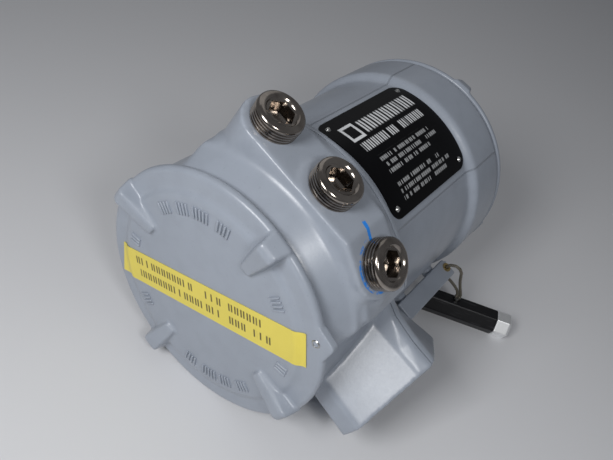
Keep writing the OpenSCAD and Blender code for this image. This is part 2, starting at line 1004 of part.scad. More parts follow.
module chassis_plate() {
  color("silver") lay()
    difference() {
      translate([0, 0, chassis_z])
        cylinder(r = chassis_r, h = chassis_t);
      for (a = bolt_angles)
        rotate([0, 0, a])
          translate([bolt_pcr, 0, chassis_z - overrun])
            cylinder(r = m3_r + play, h = chassis_t + 2 * overrun);
      translate([0, 0, chassis_z - overrun])
        cylinder(r = feed_flange_r, h = chassis_t + 2 * overrun);
    }
}

module chassis_screws() {
  color("silver") lay()
    for (a = bolt_angles)
      rotate([0, 0, a])
        translate([bolt_pcr, 0, chassis_z + chassis_t])
          machine_screw(m3_r, chassis_screw_l, m3_head_r, m3_head_h);
}

// A round board with two flats, on the pillars
module deck(z) {
  difference() {
    intersection() {
      translate([0, 0, z])
        cylinder(r = deck_r, h = board_t);
      box(2 * deck_r, 2 * deck_flat, board_t, 0, 0, z);
    }
    for (a = pillar_angles)
      rotate([0, 0, a])
        translate([pillar_pcr, 0, z - overrun])
          cylinder(r = m3_r, h = board_t + 2 * overrun);
  }
}

module pillars(z0, z1) {
  for (a = pillar_angles)
    rotate([0, 0, a])
      translate([pillar_pcr, 0, z0])
        cylinder(r = pillar_r, h = z1 - z0, $fn = 6);
}

module board_standoffs() {
  color("gold") lay() {
    pillars(chassis_z + chassis_t, power_deck_z);
    pillars(power_deck_z + board_t, main_deck_z);
    pillars(main_deck_z + board_t, display_deck_z);
    pillars(display_deck_z + board_t, bezel_z);
  }
}

module power_board() {
  color("darkgreen") lay() {
    deck(power_deck_z);
    for (x = [-can_pitch, 0, can_pitch])
      translate([x, -can_pitch, power_deck_z + board_t])
        cylinder(r = can_r - play, h = can_h);
    box(coil_w, coil_d, can_h, 0, chip_w, power_deck_z + board_t);
  }
}

module main_board() {
  color("darkgreen") lay() {
    deck(main_deck_z);
    for (x = [-chip_w, chip_w])
      box(chip_w, chip_w, chip_h, x, 0, main_deck_z + board_t);
    box(strip_socket_w, chip_h, strip_socket_h, 0, strip_socket_y, main_deck_z + board_t);
  }
}

module display_board() {
  color("darkgreen") lay()
    deck(display_deck_z);
}

module lcd_module() {
  color("lightsteelblue") lay()
    box(lcd_w, lcd_h, lcd_t, 0, lcd_y, display_deck_z + board_t);
}

module display_bezel() {
  color("dimgray") lay()
    difference() {
      translate([0, 0, bezel_z])
        cylinder(r = bezel_r, h = bezel_t);
      box(view_w, view_h, bezel_t + 2 * overrun, 0, lcd_y, bezel_z - overrun);
      for (i = [0 : keys - 1])
        translate([(i - (keys - 1) / 2) * key_pitch, key_y, bezel_z + bezel_t - key_d])
          cylinder(r = key_r, h = key_d + overrun);
      for (a = pillar_angles)
        rotate([0, 0, a])
          translate([pillar_pcr, 0, bezel_z - overrun])
            cylinder(r = m3_r + play, h = bezel_t + 2 * overrun);
    }
}

module bezel_screws() {
  color("silver") lay()
    for (a = pillar_angles)
      rotate([0, 0, a])
        translate([pillar_pcr, 0, bezel_z + bezel_t])
          machine_screw(m3_r, bezel_t, m3_head_r, m3_head_h);
}

// Lanyard and stylus

module lanyard_bar() {
  color("lightslategray") lay()
    difference() {
      translate([bar_x, bar_y, bar_start_z])
        cube([bar_t, bar_w, bar_end_z - bar_start_z]);
      translate([bar_x - overrun, bar_y + hole_inset_y, bar_end_z - hole_inset_z])
        rotate([0, 90, 0])
          cylinder(r = bar_hole_r, h = bar_t + 2 * overrun);
      for (z = bar_lug_z)
        translate([bar_x - overrun, bar_y + bar_w / 2, z])
          rotate([0, 90, 0])
            cylinder(r = bar_screw_r + fit, h = bar_t / 2 + overrun);
    }
}

module lanyard_bar_screws() {
  color("silver") lay()
    for (z = bar_lug_z)
      translate([bar_x - bar_lug_t, bar_y + bar_w / 2, z])
        rotate([0, -90, 0])
          machine_screw(bar_screw_r, bar_lug_t + bar_t / 2 - fit, bar_screw_head_r, bar_screw_head_h);
}

module lanyard_grommet() {
  color("silver") lay()
    translate([bar_x, bar_y + hole_inset_y, bar_end_z - hole_inset_z])
      rotate([0, 90, 0])
        difference() {
          union() {
            cylinder(r = bar_hole_r - fit, h = bar_t + grommet_t);
            translate([0, 0, bar_t])
              cylinder(r = grommet_r, h = grommet_t);
          }
          translate([0, 0, -overrun])
            cylinder(r = grommet_in_r, h = bar_t + grommet_t + 2 * overrun);
        }
}

// Places a piece on the stylus, x along it and z up from the bench
module on_stylus() {
  translate([stylus_x + origin_x, stylus_y + origin_y, 0])
    rotate([0, 0, stylus_angle])
      children();
}

module stylus_body() {
  color("black") on_stylus()
    difference() {
      translate([0, 0, stylus_af / 2])
        rotate([0, 90, 0])
          rotate([0, 0, 30])
            cylinder(r = hex_r, h = stylus_l, $fn = 6);
      translate([crimp_s, crimp_t, stylus_af - crimp_l / 2])
        cylinder(r = crimp_r + fit, h = crimp_l);
    }
}

module stylus_magnet() {
  color("silver") on_stylus()
    translate([stylus_l, 0, stylus_af / 2])
      rotate([0, 90, 0])
        rotate([0, 0, 30]) {
          cylinder(r = hex_r, h = magnet_l - magnet_round, $fn = 6);
          translate([0, 0, magnet_l - magnet_round])
            cylinder(r1 = hex_r, r2 = hex_r - magnet_round, h = magnet_round, $fn = 6);
        }
}

module lanyard_crimp() {
  color("silver") on_stylus()
    translate([crimp_s, crimp_t, stylus_af - crimp_l / 2])
      cylinder(r = crimp_r, h = crimp_l);
}

// A tube swept along a route: rings of points square to the route, joined and capped
function route_dir(p, i) = let (a = p[max(i - 1, 0)], b = p[min(i + 1, len(p) - 1)])
  (b - a) / norm(b - a);
function ring_points(c, d, r, n) = let (u0 = cross(d, [0, 1, 0]), u = u0 / norm(u0), v = cross(d, u))
  [for (k = [0 : n - 1]) c + r * (cos(360 * k / n) * u + sin(360 * k / n) * v)];

module tube(p, r, n) {
  count = len(p);
  points = [for (i = [0 : count - 1]) each ring_points(p[i], route_dir(p, i), r, n)];
  sides = [for (i = [0 : count - 2], k = [0 : n - 1])
    [i * n + k, i * n + (k + 1) % n, (i + 1) * n + (k + 1) % n, (i + 1) * n + k]];
  polyhedron(points, concat(sides, [[for (k = [n - 1 : -1 : 0]) k]],
    [[for (k = [0 : n - 1]) (count - 1) * n + k]]));
}

module lanyard_loop() {
  color("saddlebrown")
    translate([origin_x, origin_y, 0])
      tube(wire_route, wire_d / 2, wire_sides);
}

front_housing();
rear_housing();
seam_gasket();
housing_bolts();
neck_adapter();
wiring_cover();
wiring_cover_oring();
wiring_cover_lock_screw();
strip_label();
display_cover();
display_cover_oring();
display_cover_lock_screw();
window_gasket();
display_window();
window_retainer();
retainer_screws();
conduit_plug_upper();
conduit_plug_middle();
conduit_plug_lower();
data_plate();
data_plate_rivets();
terminal_board();
terminal_header();
terminal_plug_a();
terminal_plug_b();
power_terminal();
terminal_board_screws();
ground_screw();
feedthrough();
chassis_plate();
chassis_screws();
board_standoffs();
main_board();
power_board();
display_board();
lcd_module();
display_bezel();
bezel_screws();
lanyard_bar();
lanyard_bar_screws();
lanyard_grommet();
lanyard_crimp();
lanyard_loop();
stylus_body();
stylus_magnet();
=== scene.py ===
from math import acos, atan2, cos, hypot, pi, radians, sin, sqrt

import bmesh
import bpy
from mathutils import Matrix, Vector


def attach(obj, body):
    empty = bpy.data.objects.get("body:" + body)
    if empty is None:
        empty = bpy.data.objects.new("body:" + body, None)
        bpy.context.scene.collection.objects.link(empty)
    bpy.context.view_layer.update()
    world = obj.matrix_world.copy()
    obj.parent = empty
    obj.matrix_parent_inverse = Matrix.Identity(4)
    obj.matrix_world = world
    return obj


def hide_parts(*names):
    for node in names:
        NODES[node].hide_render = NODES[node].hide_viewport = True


bl_info = {
    "name": "Flow meter transmitter head",
    "version": (1, 0, 0),
    "blender": (4, 5, 0),
    "location": "3D View > Sidebar > Flow meter",
    "description": "Cast, machined and printed detail over the solids of a flow meter transmitter head",
    "category": "Object",
}

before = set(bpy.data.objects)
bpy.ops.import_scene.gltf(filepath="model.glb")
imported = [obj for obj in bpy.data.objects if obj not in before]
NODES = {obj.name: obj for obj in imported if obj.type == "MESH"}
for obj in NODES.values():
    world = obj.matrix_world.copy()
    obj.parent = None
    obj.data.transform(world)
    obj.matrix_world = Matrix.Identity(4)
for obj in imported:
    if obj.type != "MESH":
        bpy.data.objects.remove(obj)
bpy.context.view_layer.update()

# Sizes of the solids, in millimetres, as the part's drawing has them
TOTAL_L = 222
COVER_R = 76
NECK_HALF = 37
NECK_L = 106
SEAM_Z = 66
SEAM_HALF = 0.4
BARREL_R = 72.4
ADAPTER_R = 22
ADAPTER_L = 28
STEM_R = 16.7
STEM_DEPTH = 24
STEM_PITCH = 2.209
SPIGOT = [(55, 57), (60.4, 57), (60.4, 74), (55, 74)]
RING_STEPS = 96

# The cable entries: shift across the row, turn in degrees, distance of the face, upper one first
PORTS = ((-44, 0, 83), (-1, 0, 85), (0, 28, 87.5))
PLUG_Z = 41
PORT_R = 17.5
PLUG_R = 13.3
PLUG_L = 24
PLUG_PROUD = 10
SOCKET_AF = 13
SOCKET_DEPTH = 7.4
SOCKET_CORNER_R = 7.8
SOCKET_STEPS = 72
RIM_R = 9
CREST_BAND = 0.1
PIPE_TAPER = 1 / 32
UPPER_SHIFT = PORTS[0][0]
LOWER_TURN = radians(PORTS[2][1])
LOWER_FACE = PORTS[2][2]

# The shoulder that joins the entries' bosses: its section, its flat face, and where it dies away
SHOULDER_FACE_R = 120
SHOULDER = [(63, 9.6), (72.1, 9.6), (79.6, 22.2), (81.4, 23.4), (SHOULDER_FACE_R, 24.2),
            (SHOULDER_FACE_R, 58), (84, SEAM_Z - 1), (84, SEAM_Z + 2), (63, SEAM_Z + 2)]
SHOULDER_START = radians(-66)
SHOULDER_SPAN = radians(130)
SHOULDER_STEPS = 130
FACE_REACH = 85.05
FACE_SLOPE = 0.0465
UPPER_END = 61.5
FADE_START = radians(34)
FADE_SPAN = radians(28)
FADE_REACH = 70
SHOULDER_ROOT = 66

# The fillings beside the neck: their curve from the barrel out, and the corner inside them.
# By side of the joint: depth, length of their slope, and where the neck's facet starts and leans
NECK_CURVE = ((51, 50.3), (43.6, 59.6), (38.4, 72), (36.5, 88), (36.6, 104.5))
FILLING_CORNER = (28, 56)
FILLING_LAP = 2
FILLINGS = {-1: (3, 9, 31.2, 0.05), 1: (4, 20, 21.6, 0.09)}
FACET_Y = 60
JOINT_STOCK = 0.0024

# The covers, z inwards: a disc, a step down to a flat land, the rim, the screwed skirt
DISC_R = 60
LAND_R = 66
LAND_Z = 2
BACK_Z = 6.9
OUTER_FACE = [(DISC_R, 0), (62, 0.25), (64.4, 1.6), (LAND_R, LAND_Z), (73.6, LAND_Z), (75, 2.5),
              (75.8, 3.6), (COVER_R, 5), (COVER_R, 5.8), (75.6, 6.6), (74.8, BACK_Z),
              (68, BACK_Z), (68, 4.4), (64, 4.4), (64, BACK_Z)]
WINDOW_R = 40
POCKET_R = 48.3
POCKET_Z = (8, 16.8)
WINDOW_WELL = [(60, BACK_Z), (60, POCKET_Z[0]), (WINDOW_R, POCKET_Z[0]), (WINDOW_R, 5.2),
               (41.2, 3.6), (46.6, 0.3), (47.6, 0)]
SKIRT_R = 61.95
SKIRT_IN_R = 56.95
SKIRT_ROOT_R = 61.1
SKIRT_ROOT_Z = 8.6
SKIRT_THREAD_Z = 9
SKIRT_END_Z = 22
SKIRT_TIP_R = 60.4
SKIRT_STEPS = 128
SKIRT_PITCH = 2
THREAD_DEPTH = 1.1
CAP_INSIDE = BACK_Z - 0.4
CAPS = {
    "wiring": ([(0, 0)] + OUTER_FACE + [(0, BACK_Z)], False),
    "display": (WINDOW_WELL + OUTER_FACE, True),
}
CAP_STEPS = 160
SKIRT_FEET = {
    "wiring": [(SKIRT_IN_R, 9.5), (55, 7.4), (52, CAP_INSIDE)],
    "display": [(SKIRT_IN_R, POCKET_Z[1]), (POCKET_R, POCKET_Z[1]), (POCKET_R, POCKET_Z[0]),
                (59, POCKET_Z[0]), (59, CAP_INSIDE)],
}

# A wrench lug is hulled from balls: distance out, half its width, height and radius of each
LUG_BALLS = ((48, 2.3, -1.1, 1.6), (47.6, 3.8, 2.6, 1.6), (75.4, 5.4, 4, 1.6))
LUG_CREST = (71, 4.1, -2.1, 1.3)
LUG_CREST_BEND = 3.1
LUG_ANGLES = (4, -8)
EAR_ANGLES = (46, 214)
EAR_TIP_R = 2.5
EAR_REACH = 79.5
EAR_ROOT_R = 75.4
LOCK_PCR = 72
LOCK_R = 2.6
LOCK_SUNK = 0.35
LOCK_OUTLINE = [(1.5, -0.15), (1.7, 0), (LOCK_R - 0.5, 0), (LOCK_R, -0.5), (LOCK_R, -2), (2, -2.2),
                (2, -5.4), (0, -5.4)]
LOCK_AF = 3
LOCK_SOCKET_TOP = -0.4
LOCK_SOCKET_DEPTH = 2

# The raised marks: places in a quarter of the ring, those left empty, and a mark's size
MARK_COUNT = 22
MARK_START = 20
MARK_STEP = 2.4
MARK_GAPS = (4, 5, 10, 16, 17)
MARK_L = 7
MARK_W = 1.2
MARK_SOFT = 0.45
MARK_LABEL_GAP = 4

# The strip label and the data plate, whose rows of marks are given as
# (across, half height, start, end, pitch)
STRIP_L = 134.5
STRIP_W = 21.8
STRIP_ANGLE = 51.8
STRIP_MIDDLE = -1
STRIP_SKEW = 0.227
STRIP_GAP = 0.16
STRIP_GRID = (110, 16)
STRIP_ROWS = ((-4.7, 2.5, -54, 42, 4.2), (3.9, 2.5, -52, 46, 4.2))
PLATE_TURN = -2.5
PLATE_Z = 85
PLATE_ROWS = ((-20.5, 5.0, 26, 82, 6.4), (-8.6, 3.0, 12, 79, 4.4))
SMALL_ROW = 4.3
SMALL_PITCH = 2.2
BADGE = (16.5, -20.5)
PAD_HALF = 41.5
PAD_Z = SEAM_Z + 11

# The thread sealant on the front casting: a stroke beside the lower entry, given by its middle,
# slope and ends, and a smear round the entry, given by its radii and how far along it goes
STROKE_Z = 42.4
STROKE_Y = 24.6
STROKE_SLOPE = 0.12
STROKE_ENDS = (20.4, 31.0)
STROKE_DEPTH = (76, 90)
SMEAR_R = (13.0, 14.6)
SMEAR_Z = (20.0, 39.0)
SMEAR_DEPTH = (60, 100)

# The folded edge added to the lanyard's bar: size and middle, and the grains of small pieces
BAR_EDGE = ((3, 3.4, 62), (3, 76.3, 138.5))
SMALL_GRAIN = 0.0005
MAGNET_GRAIN = 0.0004

# Lamps: name, width and place, and what they are turned to, in metres. The camera's two
# directions point back from its view and up.
LAMPS = (
    ("key", 0.24, (-0.06, -0.56, 0.52)),
    ("glint", 0.12, (0.36, -0.34, 0.50)),
    ("fill", 0.9, (-0.5, 0.5, 0.9)),
)
LAMP_AIM = (0, 0, 0.06)
CAMERA_PLACE = (0.1194, -0.2866, 0.3310)
CAMERA_BACK = (0.3478, -0.6755, 0.6502)
CAMERA_UP = (-0.5295, 0.4307, 0.7308)

# The lanyard's line, from the crimp up through the bar's hole and back, in the part's drawing
ROUTE = (
    (89.4, 180.7, 19), (89.4, 180.7, 21.5), (88, 179.2, 25.6), (85.4, 176.8, 29.8),
    (82.4, 174, 33.8), (79.2, 171.2, 37.4), (76.2, 168.8, 41), (74.4, 167.3, 44.6),
    (75.6, 167.1, 48.4), (77.6, 167, 52), (81, 167.4, 53.6), (84.4, 168.4, 52.4),
    (86.4, 169.8, 49), (87, 171.2, 44.8), (87.6, 172.8, 40.4), (88.4, 174.8, 35.8),
    (89.4, 176.8, 31.2), (90.6, 179, 26.4), (91.6, 181.5, 21.5), (91.6, 181.5, 19),
)
ORIGIN = Vector((-18, -111, 0))

# The enclosure's own frame, z along its bore, laid down on the bench
LAY = atan2(NECK_HALF, NECK_L) + acos(COVER_R / hypot(NECK_HALF, NECK_L))
MILLIMETRES = Matrix.Scale(0.001, 4)
LYING = MILLIMETRES @ Matrix((
    (cos(LAY), sin(LAY), 0, ORIGIN.x),
    (0, 0, 1, ORIGIN.y),
    (sin(LAY), -cos(LAY), 0, COVER_R),
    (0, 0, 0, 1),
))
FAR_END = LYING @ Matrix.Translation((0, 0, TOTAL_L)) @ Matrix.Scale(-1, 4, (0, 0, 1))
PLATE_FRAME = LYING @ Matrix.Rotation(radians(PLATE_TURN), 4, "Z")
STRIP_FRAME = LYING @ Matrix.Rotation(radians(STRIP_ANGLE), 4, "Z")
STYLUS = MILLIMETRES @ Matrix.Translation((50, 59.6, 0)) @ Matrix.Rotation(radians(21.5), 4, "Z")


def entry_frame(shift, turn):
    """The frame of a cable entry, z out along it."""
    return (LYING @ Matrix.Rotation(radians(turn), 4, "Z") @ Matrix.Translation((0, shift, PLUG_Z))
            @ Matrix.Rotation(radians(90), 4, "Y"))


def colour(red, green, blue):
    """A colour given in 0 to 255, as the shader wants it."""
    def light(c):
        c /= 255
        return c / 12.92 if c <= 0.04045 else ((c + 0.055) / 1.055) ** 2.4
    return (light(red), light(green), light(blue), 1.0)


# Shader building

class Term:
    """A shader value that takes part in sums."""

    def __init__(self, finish, socket):
        self.finish = finish
        self.socket = socket

    def math(self, operation, *others, clamp=False):
        """One operation on this value and up to two others."""
        values = dict(enumerate((self,) + others))
        return self.finish.node("ShaderNodeMath", {"operation": operation, "use_clamp": clamp}, values)

    def __add__(self, other):
        return self.math("ADD", other)

    __radd__ = __add__

    def __sub__(self, other):
        return self.math("SUBTRACT", other)

    def __rsub__(self, other):
        return self.math("MULTIPLY", -1.0).math("ADD", other)

    def __mul__(self, other):
        return self.math("MULTIPLY", other)

    __rmul__ = __mul__

    def __truediv__(self, other):
        return self.math("DIVIDE", other)

    def inside(self, low, high, soft):
        """One between two limits and nothing outside them, over a soft edge."""
        rise = ((self - low) / soft).math("ADD", 0.5, clamp=True)
        fall = ((self - high) / soft).math("ADD", 0.5, clamp=True)
        return rise * (1 - fall)


class Finish:
    """A material built from values and links, with its shader's constants set first."""

    def __init__(self, name, **constants):
        self.material = bpy.data.materials.new(name)
        self.material.use_nodes = True
        self.tree = self.material.node_tree
        self.shader = self.tree.nodes["Principled BSDF"]
        self.last_bump = None
        self.coordinates = None
        for name, value in constants.items():
            self.shader.inputs[name.replace("_", " ")].default_value = value

    def feed(self, socket, value):
        """Links a term to a socket, or sets the socket's own value."""
        if isinstance(value, Term):
            self.tree.links.new(value.socket, socket)
        else:
            socket.default_value = value

    def node(self, kind, settings=None, inputs=None, output=0):
        """Adds a node with its settings and inputs, and gives one of its outputs."""
        made = self.tree.nodes.new(kind)
        for name, value in (settings or {}).items():
            setattr(made, name, value)
        for name, value in (inputs or {}).items():
            self.feed(made.inputs[name], value)
        return Term(self, made.outputs[output])

    def at(self, place=None):
        """Object coordinates, in metres, or in a piece's own frame and its unit."""
        if self.coordinates is None:
            self.coordinates = self.node("ShaderNodeTexCoord", output="Object")
        if place is None:
            return self.coordinates
        shift, turn, size = place.inverted().decompose()
        return self.node("ShaderNodeMapping", {"vector_type": "POINT"}, {
            "Vector": self.coordinates, "Location": shift, "Rotation": turn.to_euler(), "Scale": size})

    def axes(self, place):
        """The three coordinates in a piece's own frame."""
        split = self.node("ShaderNodeSeparateXYZ", None, {"Vector": self.at(place)})
        return [Term(self, socket) for socket in split.socket.node.outputs]

    def noise(self, size, detail=2.0, rough=0.5, place=None, stretch=None):
        """Grain whose lumps are about so many millimetres across."""
        vector = self.at(place)
        scale = 1.0 / size if place is not None else 1000.0 / size
        if stretch:
            vector = self.node("ShaderNodeMapping", {"vector_type": "POINT"},
                               {"Vector": vector, "Scale": stretch})
        return self.node("ShaderNodeTexNoise", None, {
            "Vector": vector, "Scale": scale, "Detail": detail, "Roughness": rough})

    def mix(self, amount, first, second):
        """The first colour, going over to the second as the amount goes from 0 to 1."""
        return self.node("ShaderNodeMix", {"data_type": "RGBA"}, {0: amount, 6: first, 7: second}, 2)

    def bump(self, height, depth, strength):
        """Raises the surface by so many millimetres where height goes from 0 to 1."""
        inputs = {"Height": height, "Distance": depth / 1000.0, "Strength": strength}
        if self.last_bump:
            inputs["Normal"] = self.last_bump
        self.last_bump = self.node("ShaderNodeBump", None, inputs)
        self.feed(self.shader.inputs["Normal"], self.last_bump)

    def dice(self, seed):
        """A number from 0 to 1 that stays the same for each seed."""
        return self.node("ShaderNodeTexWhiteNoise", {"noise_dimensions": "1D"}, {"W": seed})

    def paint(self, base, roughness, alpha=None):
        """Feeds the shader what varies over the surface, and gives the finished material."""
        for name, value in (("Base Color", base), ("Roughness", roughness), ("Alpha", alpha)):
            if value is not None:
                self.feed(self.shader.inputs[name], value)
        return self.material


def tint(shade, factor):
    """The same colour, lighter or darker."""
    return tuple(min(1.0, c * factor) for c in shade[:3]) + (1.0,)


def chosen(rgb):
    """A colour from the settings, as the shader wants it."""
    return tuple(rgb) + (1.0,)


def enamel(name, sealant=False, pad=False):
    """Sprayed and baked enamel over a sand casting."""
    f = Finish(name, Coat_Roughness=0.22, Coat_Weight=0.18)
    castings = bpy.context.scene.meter_castings
    shade = chosen(castings.paint)
    peel = f.noise(castings.peel * 1000, 3.0, 0.55)
    waves = f.noise(11.0, 2.0, 0.5)
    clouds = f.noise(46.0, 4.0, 0.6)
    specks = f.noise(0.9, 1.0, 0.5).inside(0.735, 1.2, 0.03)
    base = f.mix((clouds - 0.35) * 1.3, tint(shade, 1.05), tint(shade, 0.9))
    base = f.mix(waves.inside(0.58, 1.2, 0.25) * 0.3, base, tint(shade, 0.87))
    base = f.mix(specks * 0.3, base, tint(shade, 0.55))
    if sealant:
        x, y, z = f.axes(LYING)
        ragged = f.noise(1.5, 3.0, 0.7) * 2.0 - 1.0
        stroke = ((z - STROKE_Z) + (y - STROKE_Y) * STROKE_SLOPE).math("ABSOLUTE") + ragged * 0.8
        stroke = stroke.inside(-2.0, 1.1, 0.25) * (y + ragged * 1.6).inside(*STROKE_ENDS, 0.4)
        stroke = stroke * x.inside(*STROKE_DEPTH, 1.0)
        aside = y * cos(LOWER_TURN) - x * sin(LOWER_TURN)
        ring = ((z - PLUG_Z) * (z - PLUG_Z) + aside * aside).math("SQRT")
        smear = (ring + ragged * 0.5).inside(*SMEAR_R, 0.3) * z.inside(*SMEAR_Z, 1.0)
        smear = smear * f.noise(4.5, 3.0, 0.7).inside(0.5, 1.2, 0.08) * x.inside(*SMEAR_DEPTH, 1.0)
        base = f.mix((stroke + smear).math("MINIMUM", 1.0), base, chosen(castings.sealant))
    if pad:
        x, y, z = f.axes(PLATE_FRAME)
        raised = (y.math("ARCTAN2", x) * BARREL_R).math("ABSOLUTE").inside(-1, PAD_HALF, 1.4)
        f.bump(raised * z.inside(PAD_Z, 900, 1.4), 0.9, 0.9)
    f.bump(waves, 0.12, 0.3)
    f.bump(peel, 0.1, 0.35)
    return f.paint(base, peel * 0.12 + 0.22 + clouds * 0.08)


def metal(name, shade, rough, size, stain=None, brush=0.3, wear=0.4):
    """Bare or plated metal with turning marks, stains and a little wear."""
    f = Finish(name, Metallic=1.0)
    grain = f.noise(size, 4.0, 0.65)
    fine = f.noise(size * 0.25, 2.0, 0.6)
    smudge = f.noise(size * 9, 4.0, 0.6)
    base = f.mix((smudge - 0.4) * 1.8 * wear, shade, stain or tint(shade, 0.62))
    base = f.mix(grain.inside(0.62, 1.2, 0.12) * 0.35, base, tint(shade, 0.7))
    f.bump(fine, 0.03, brush)
    return f.paint(base, smudge * 0.18 + grain * 0.1 + (rough - 0.14))


def plastic(name, shade, rough, grain=0.5, depth=0.04, speck=0.25, lift=1.15):
    """Moulded plastic or rubber with its fine grain and handling marks."""
    f = Finish(name)
    fine = f.noise(grain, 3.0, 0.6)
    marks = f.noise(grain * 22, 4.0, 0.65)
    base = f.mix((marks - 0.35) * 1.2, shade, tint(shade, lift))
    base = f.mix(fine.inside(0.6, 1.2, 0.15) * speck, base, tint(shade, 0.7))
    f.bump(fine, depth, 0.6)
    return f.paint(base, marks * 0.2 + (rough - 0.1))


def stylus_plastic():
    """Black moulded plastic with dust and scratches drawn along it."""
    f = Finish("black stylus plastic", Coat_Weight=0.08, Coat_Roughness=0.3, Specular_IOR_Level=0.3)
    shade = chosen(bpy.context.scene.meter_lanyard.stylus)
    fine = f.noise(0.5, 3.0, 0.6)
    dust = f.noise(5.0, 5.0, 0.7)
    drawn = f.noise(1.2, 3.0, 0.6, STYLUS, (0.06, 1.0, 1.0))
    base = f.mix((dust - 0.45) * 0.8, shade, tint(shade, 1.7))
    base = f.mix(drawn.inside(0.62, 1.2, 0.06) * 0.22, base, colour(96, 96, 100))
    f.bump(fine, 0.03, 0.5)
    f.bump(drawn, 0.05, 0.4)
    return f.paint(base, dust * 0.22 + 0.3)


def solder_mask():
    """Solder mask with copper tracks under it and tinned dots."""
    f = Finish("green solder mask", Coat_Weight=0.35, Coat_Roughness=0.15)
    x, y, _ = f.axes(LYING)
    lane = (x + (y / 7.0).math("FLOOR") * 1.3).math("PINGPONG", 1.1).inside(0.35, 0.75, 0.08)
    runs = f.noise(9.0, 1.0, 0.4).inside(0.48, 1.2, 0.03)
    dots_x = x.math("PINGPONG", 2.54).inside(-1.0, 0.5, 0.15)
    dots_y = y.math("PINGPONG", 2.54).inside(-1.0, 0.5, 0.15)
    dots = dots_x * dots_y * f.noise(16.0, 1.0, 0.5).inside(0.52, 1.2, 0.02)
    base = f.mix(lane * runs * 0.6, colour(22, 84, 52), colour(46, 122, 70))
    base = f.mix(dots, base, colour(196, 196, 188))
    f.bump(lane * runs, 0.04, 0.5)
    return f.paint(base, f.noise(3.0) * 0.15 + 0.26)


def display():
    """A reflective display, its pixels at rest."""
    f = Finish("reflective display", Coat_Weight=0.6, Coat_Roughness=0.05)
    x, y, _ = f.axes(LYING)
    lines, columns = (c.math("PINGPONG", 0.3).inside(0.05, 1.0, 0.05) for c in (x, y))
    clouds = f.noise(30.0, 2.0, 0.5)
    base = f.mix(lines * columns * 0.2 + clouds * 0.3, colour(136, 148, 128), colour(158, 170, 146))
    return f.paint(base, clouds * 0.1 + 0.25)


def window_glass():
    """Toughened glass with a slight haze."""
    f = Finish("window glass", Base_Color=(0.86, 0.92, 0.92, 1.0), IOR=1.5)
    haze = f.noise(24.0, 4.0, 0.6)
    return f.paint(None, haze * 0.08 + 0.02, haze * 0.1 + 0.1)


def tallies(f, along, across, rows):
    """Rows of plain upright strokes in groups."""
    total = None
    for row in rows:
        drawn = tally_row(f, along, across, *row)
        total = drawn if total is None else total + drawn
    return total


def tally_row(f, along, across, row, half, start, end, pitch):
    """A row of plain upright strokes in groups, as a blank's sample print has them."""
    place = (along + 400 * pitch) / pitch
    cell = place.math("FLOOR")
    place = place.math("FRACT")
    pick = f.dice(cell + row)
    second = place.inside(0.58, 0.82, 0.12) * pick.inside(0.34, 2, 0.02)
    shown = pick.inside(0.13, 2, 0.01) * along.inside(start, end, 0.2)
    level = (across - row).math("ABSOLUTE").inside(-1.0, half, half * 0.25)
    return (place.inside(0.14, 0.38, 0.12) + second) * shown * level


def label_tape():
    """Yellow vinyl tape with two rows of plain marks."""
    f = Finish("yellow label tape", Coat_Weight=0.12, Coat_Roughness=0.3)
    label = bpy.context.scene.meter_label
    u, v, _ = f.axes(STRIP_FRAME)
    shade = chosen(label.tape)
    rows = tallies(f, u, v, STRIP_ROWS)
    clouds = f.noise(17.0, 4.0, 0.6)
    wrinkle = f.noise(7.0, 3.0, 0.55)
    base = f.mix((clouds - 0.4) * 1.2, shade, tint(shade, 0.9))
    base = f.mix(rows * 0.93, base, chosen(label.ink))
    f.bump(wrinkle, 0.25, 0.35)
    return f.paint(base, clouds * 0.16 + 0.36)


def etched_plate():
    """Etched black plate with plain marks in place of print."""
    f = Finish("black data plate", Specular_IOR_Level=0.1)
    plate = bpy.context.scene.meter_plate
    x, y, z = f.axes(PLATE_FRAME)
    u = y.math("ARCTAN2", x) * BARREL_R
    along = z - PLATE_Z
    marks = tallies(f, along, u, PLATE_ROWS)
    level = (u + 60) / SMALL_ROW
    line = level.math("FLOOR")
    inset = f.dice(line * 7.3) * 16 + 14
    level = (level.math("FRACT") - 0.5).math("ABSOLUTE").inside(-1, 0.28, 0.12)
    place = along / SMALL_PITCH
    cell = place.math("FLOOR")
    place = place.math("FRACT")
    pick = f.dice(cell + line * 41.0)
    small = place.inside(0.12, 0.45, 0.15) + place.inside(0.6, 0.85, 0.15) * pick.inside(0.4, 2, 0.02)
    small = small * pick.inside(0.15, 2, 0.01) * level * 0.6
    small = small * along.inside(16, 999, 0.2) * (along + inset).inside(0, 92, 0.2)
    small = small * (u.inside(-0.6, 12.4, 0.1) + u.inside(16.7, 29.6, 0.1))
    badge = (along - BADGE[0]).math("ABSOLUTE").math("MAXIMUM", (u - BADGE[1]).math("ABSOLUTE"))
    marks = (marks + small + badge.inside(4.4, 6.4, 0.3)).math("MINIMUM", 1.0)
    clouds = f.noise(21.0, 4.0, 0.6)
    worn = f.noise(2.2, 4.0, 0.7).inside(0.64, 1.2, 0.08)
    shade = chosen(plate.black)
    base = f.mix((clouds - 0.4) * 1.4, shade, tint(shade, 1.9))
    base = f.mix(marks * (1 - worn * 0.5), base, chosen(plate.ink))
    f.bump(marks, 0.05, 0.5)
    return f.paint(base, clouds * 0.2 + 0.24)


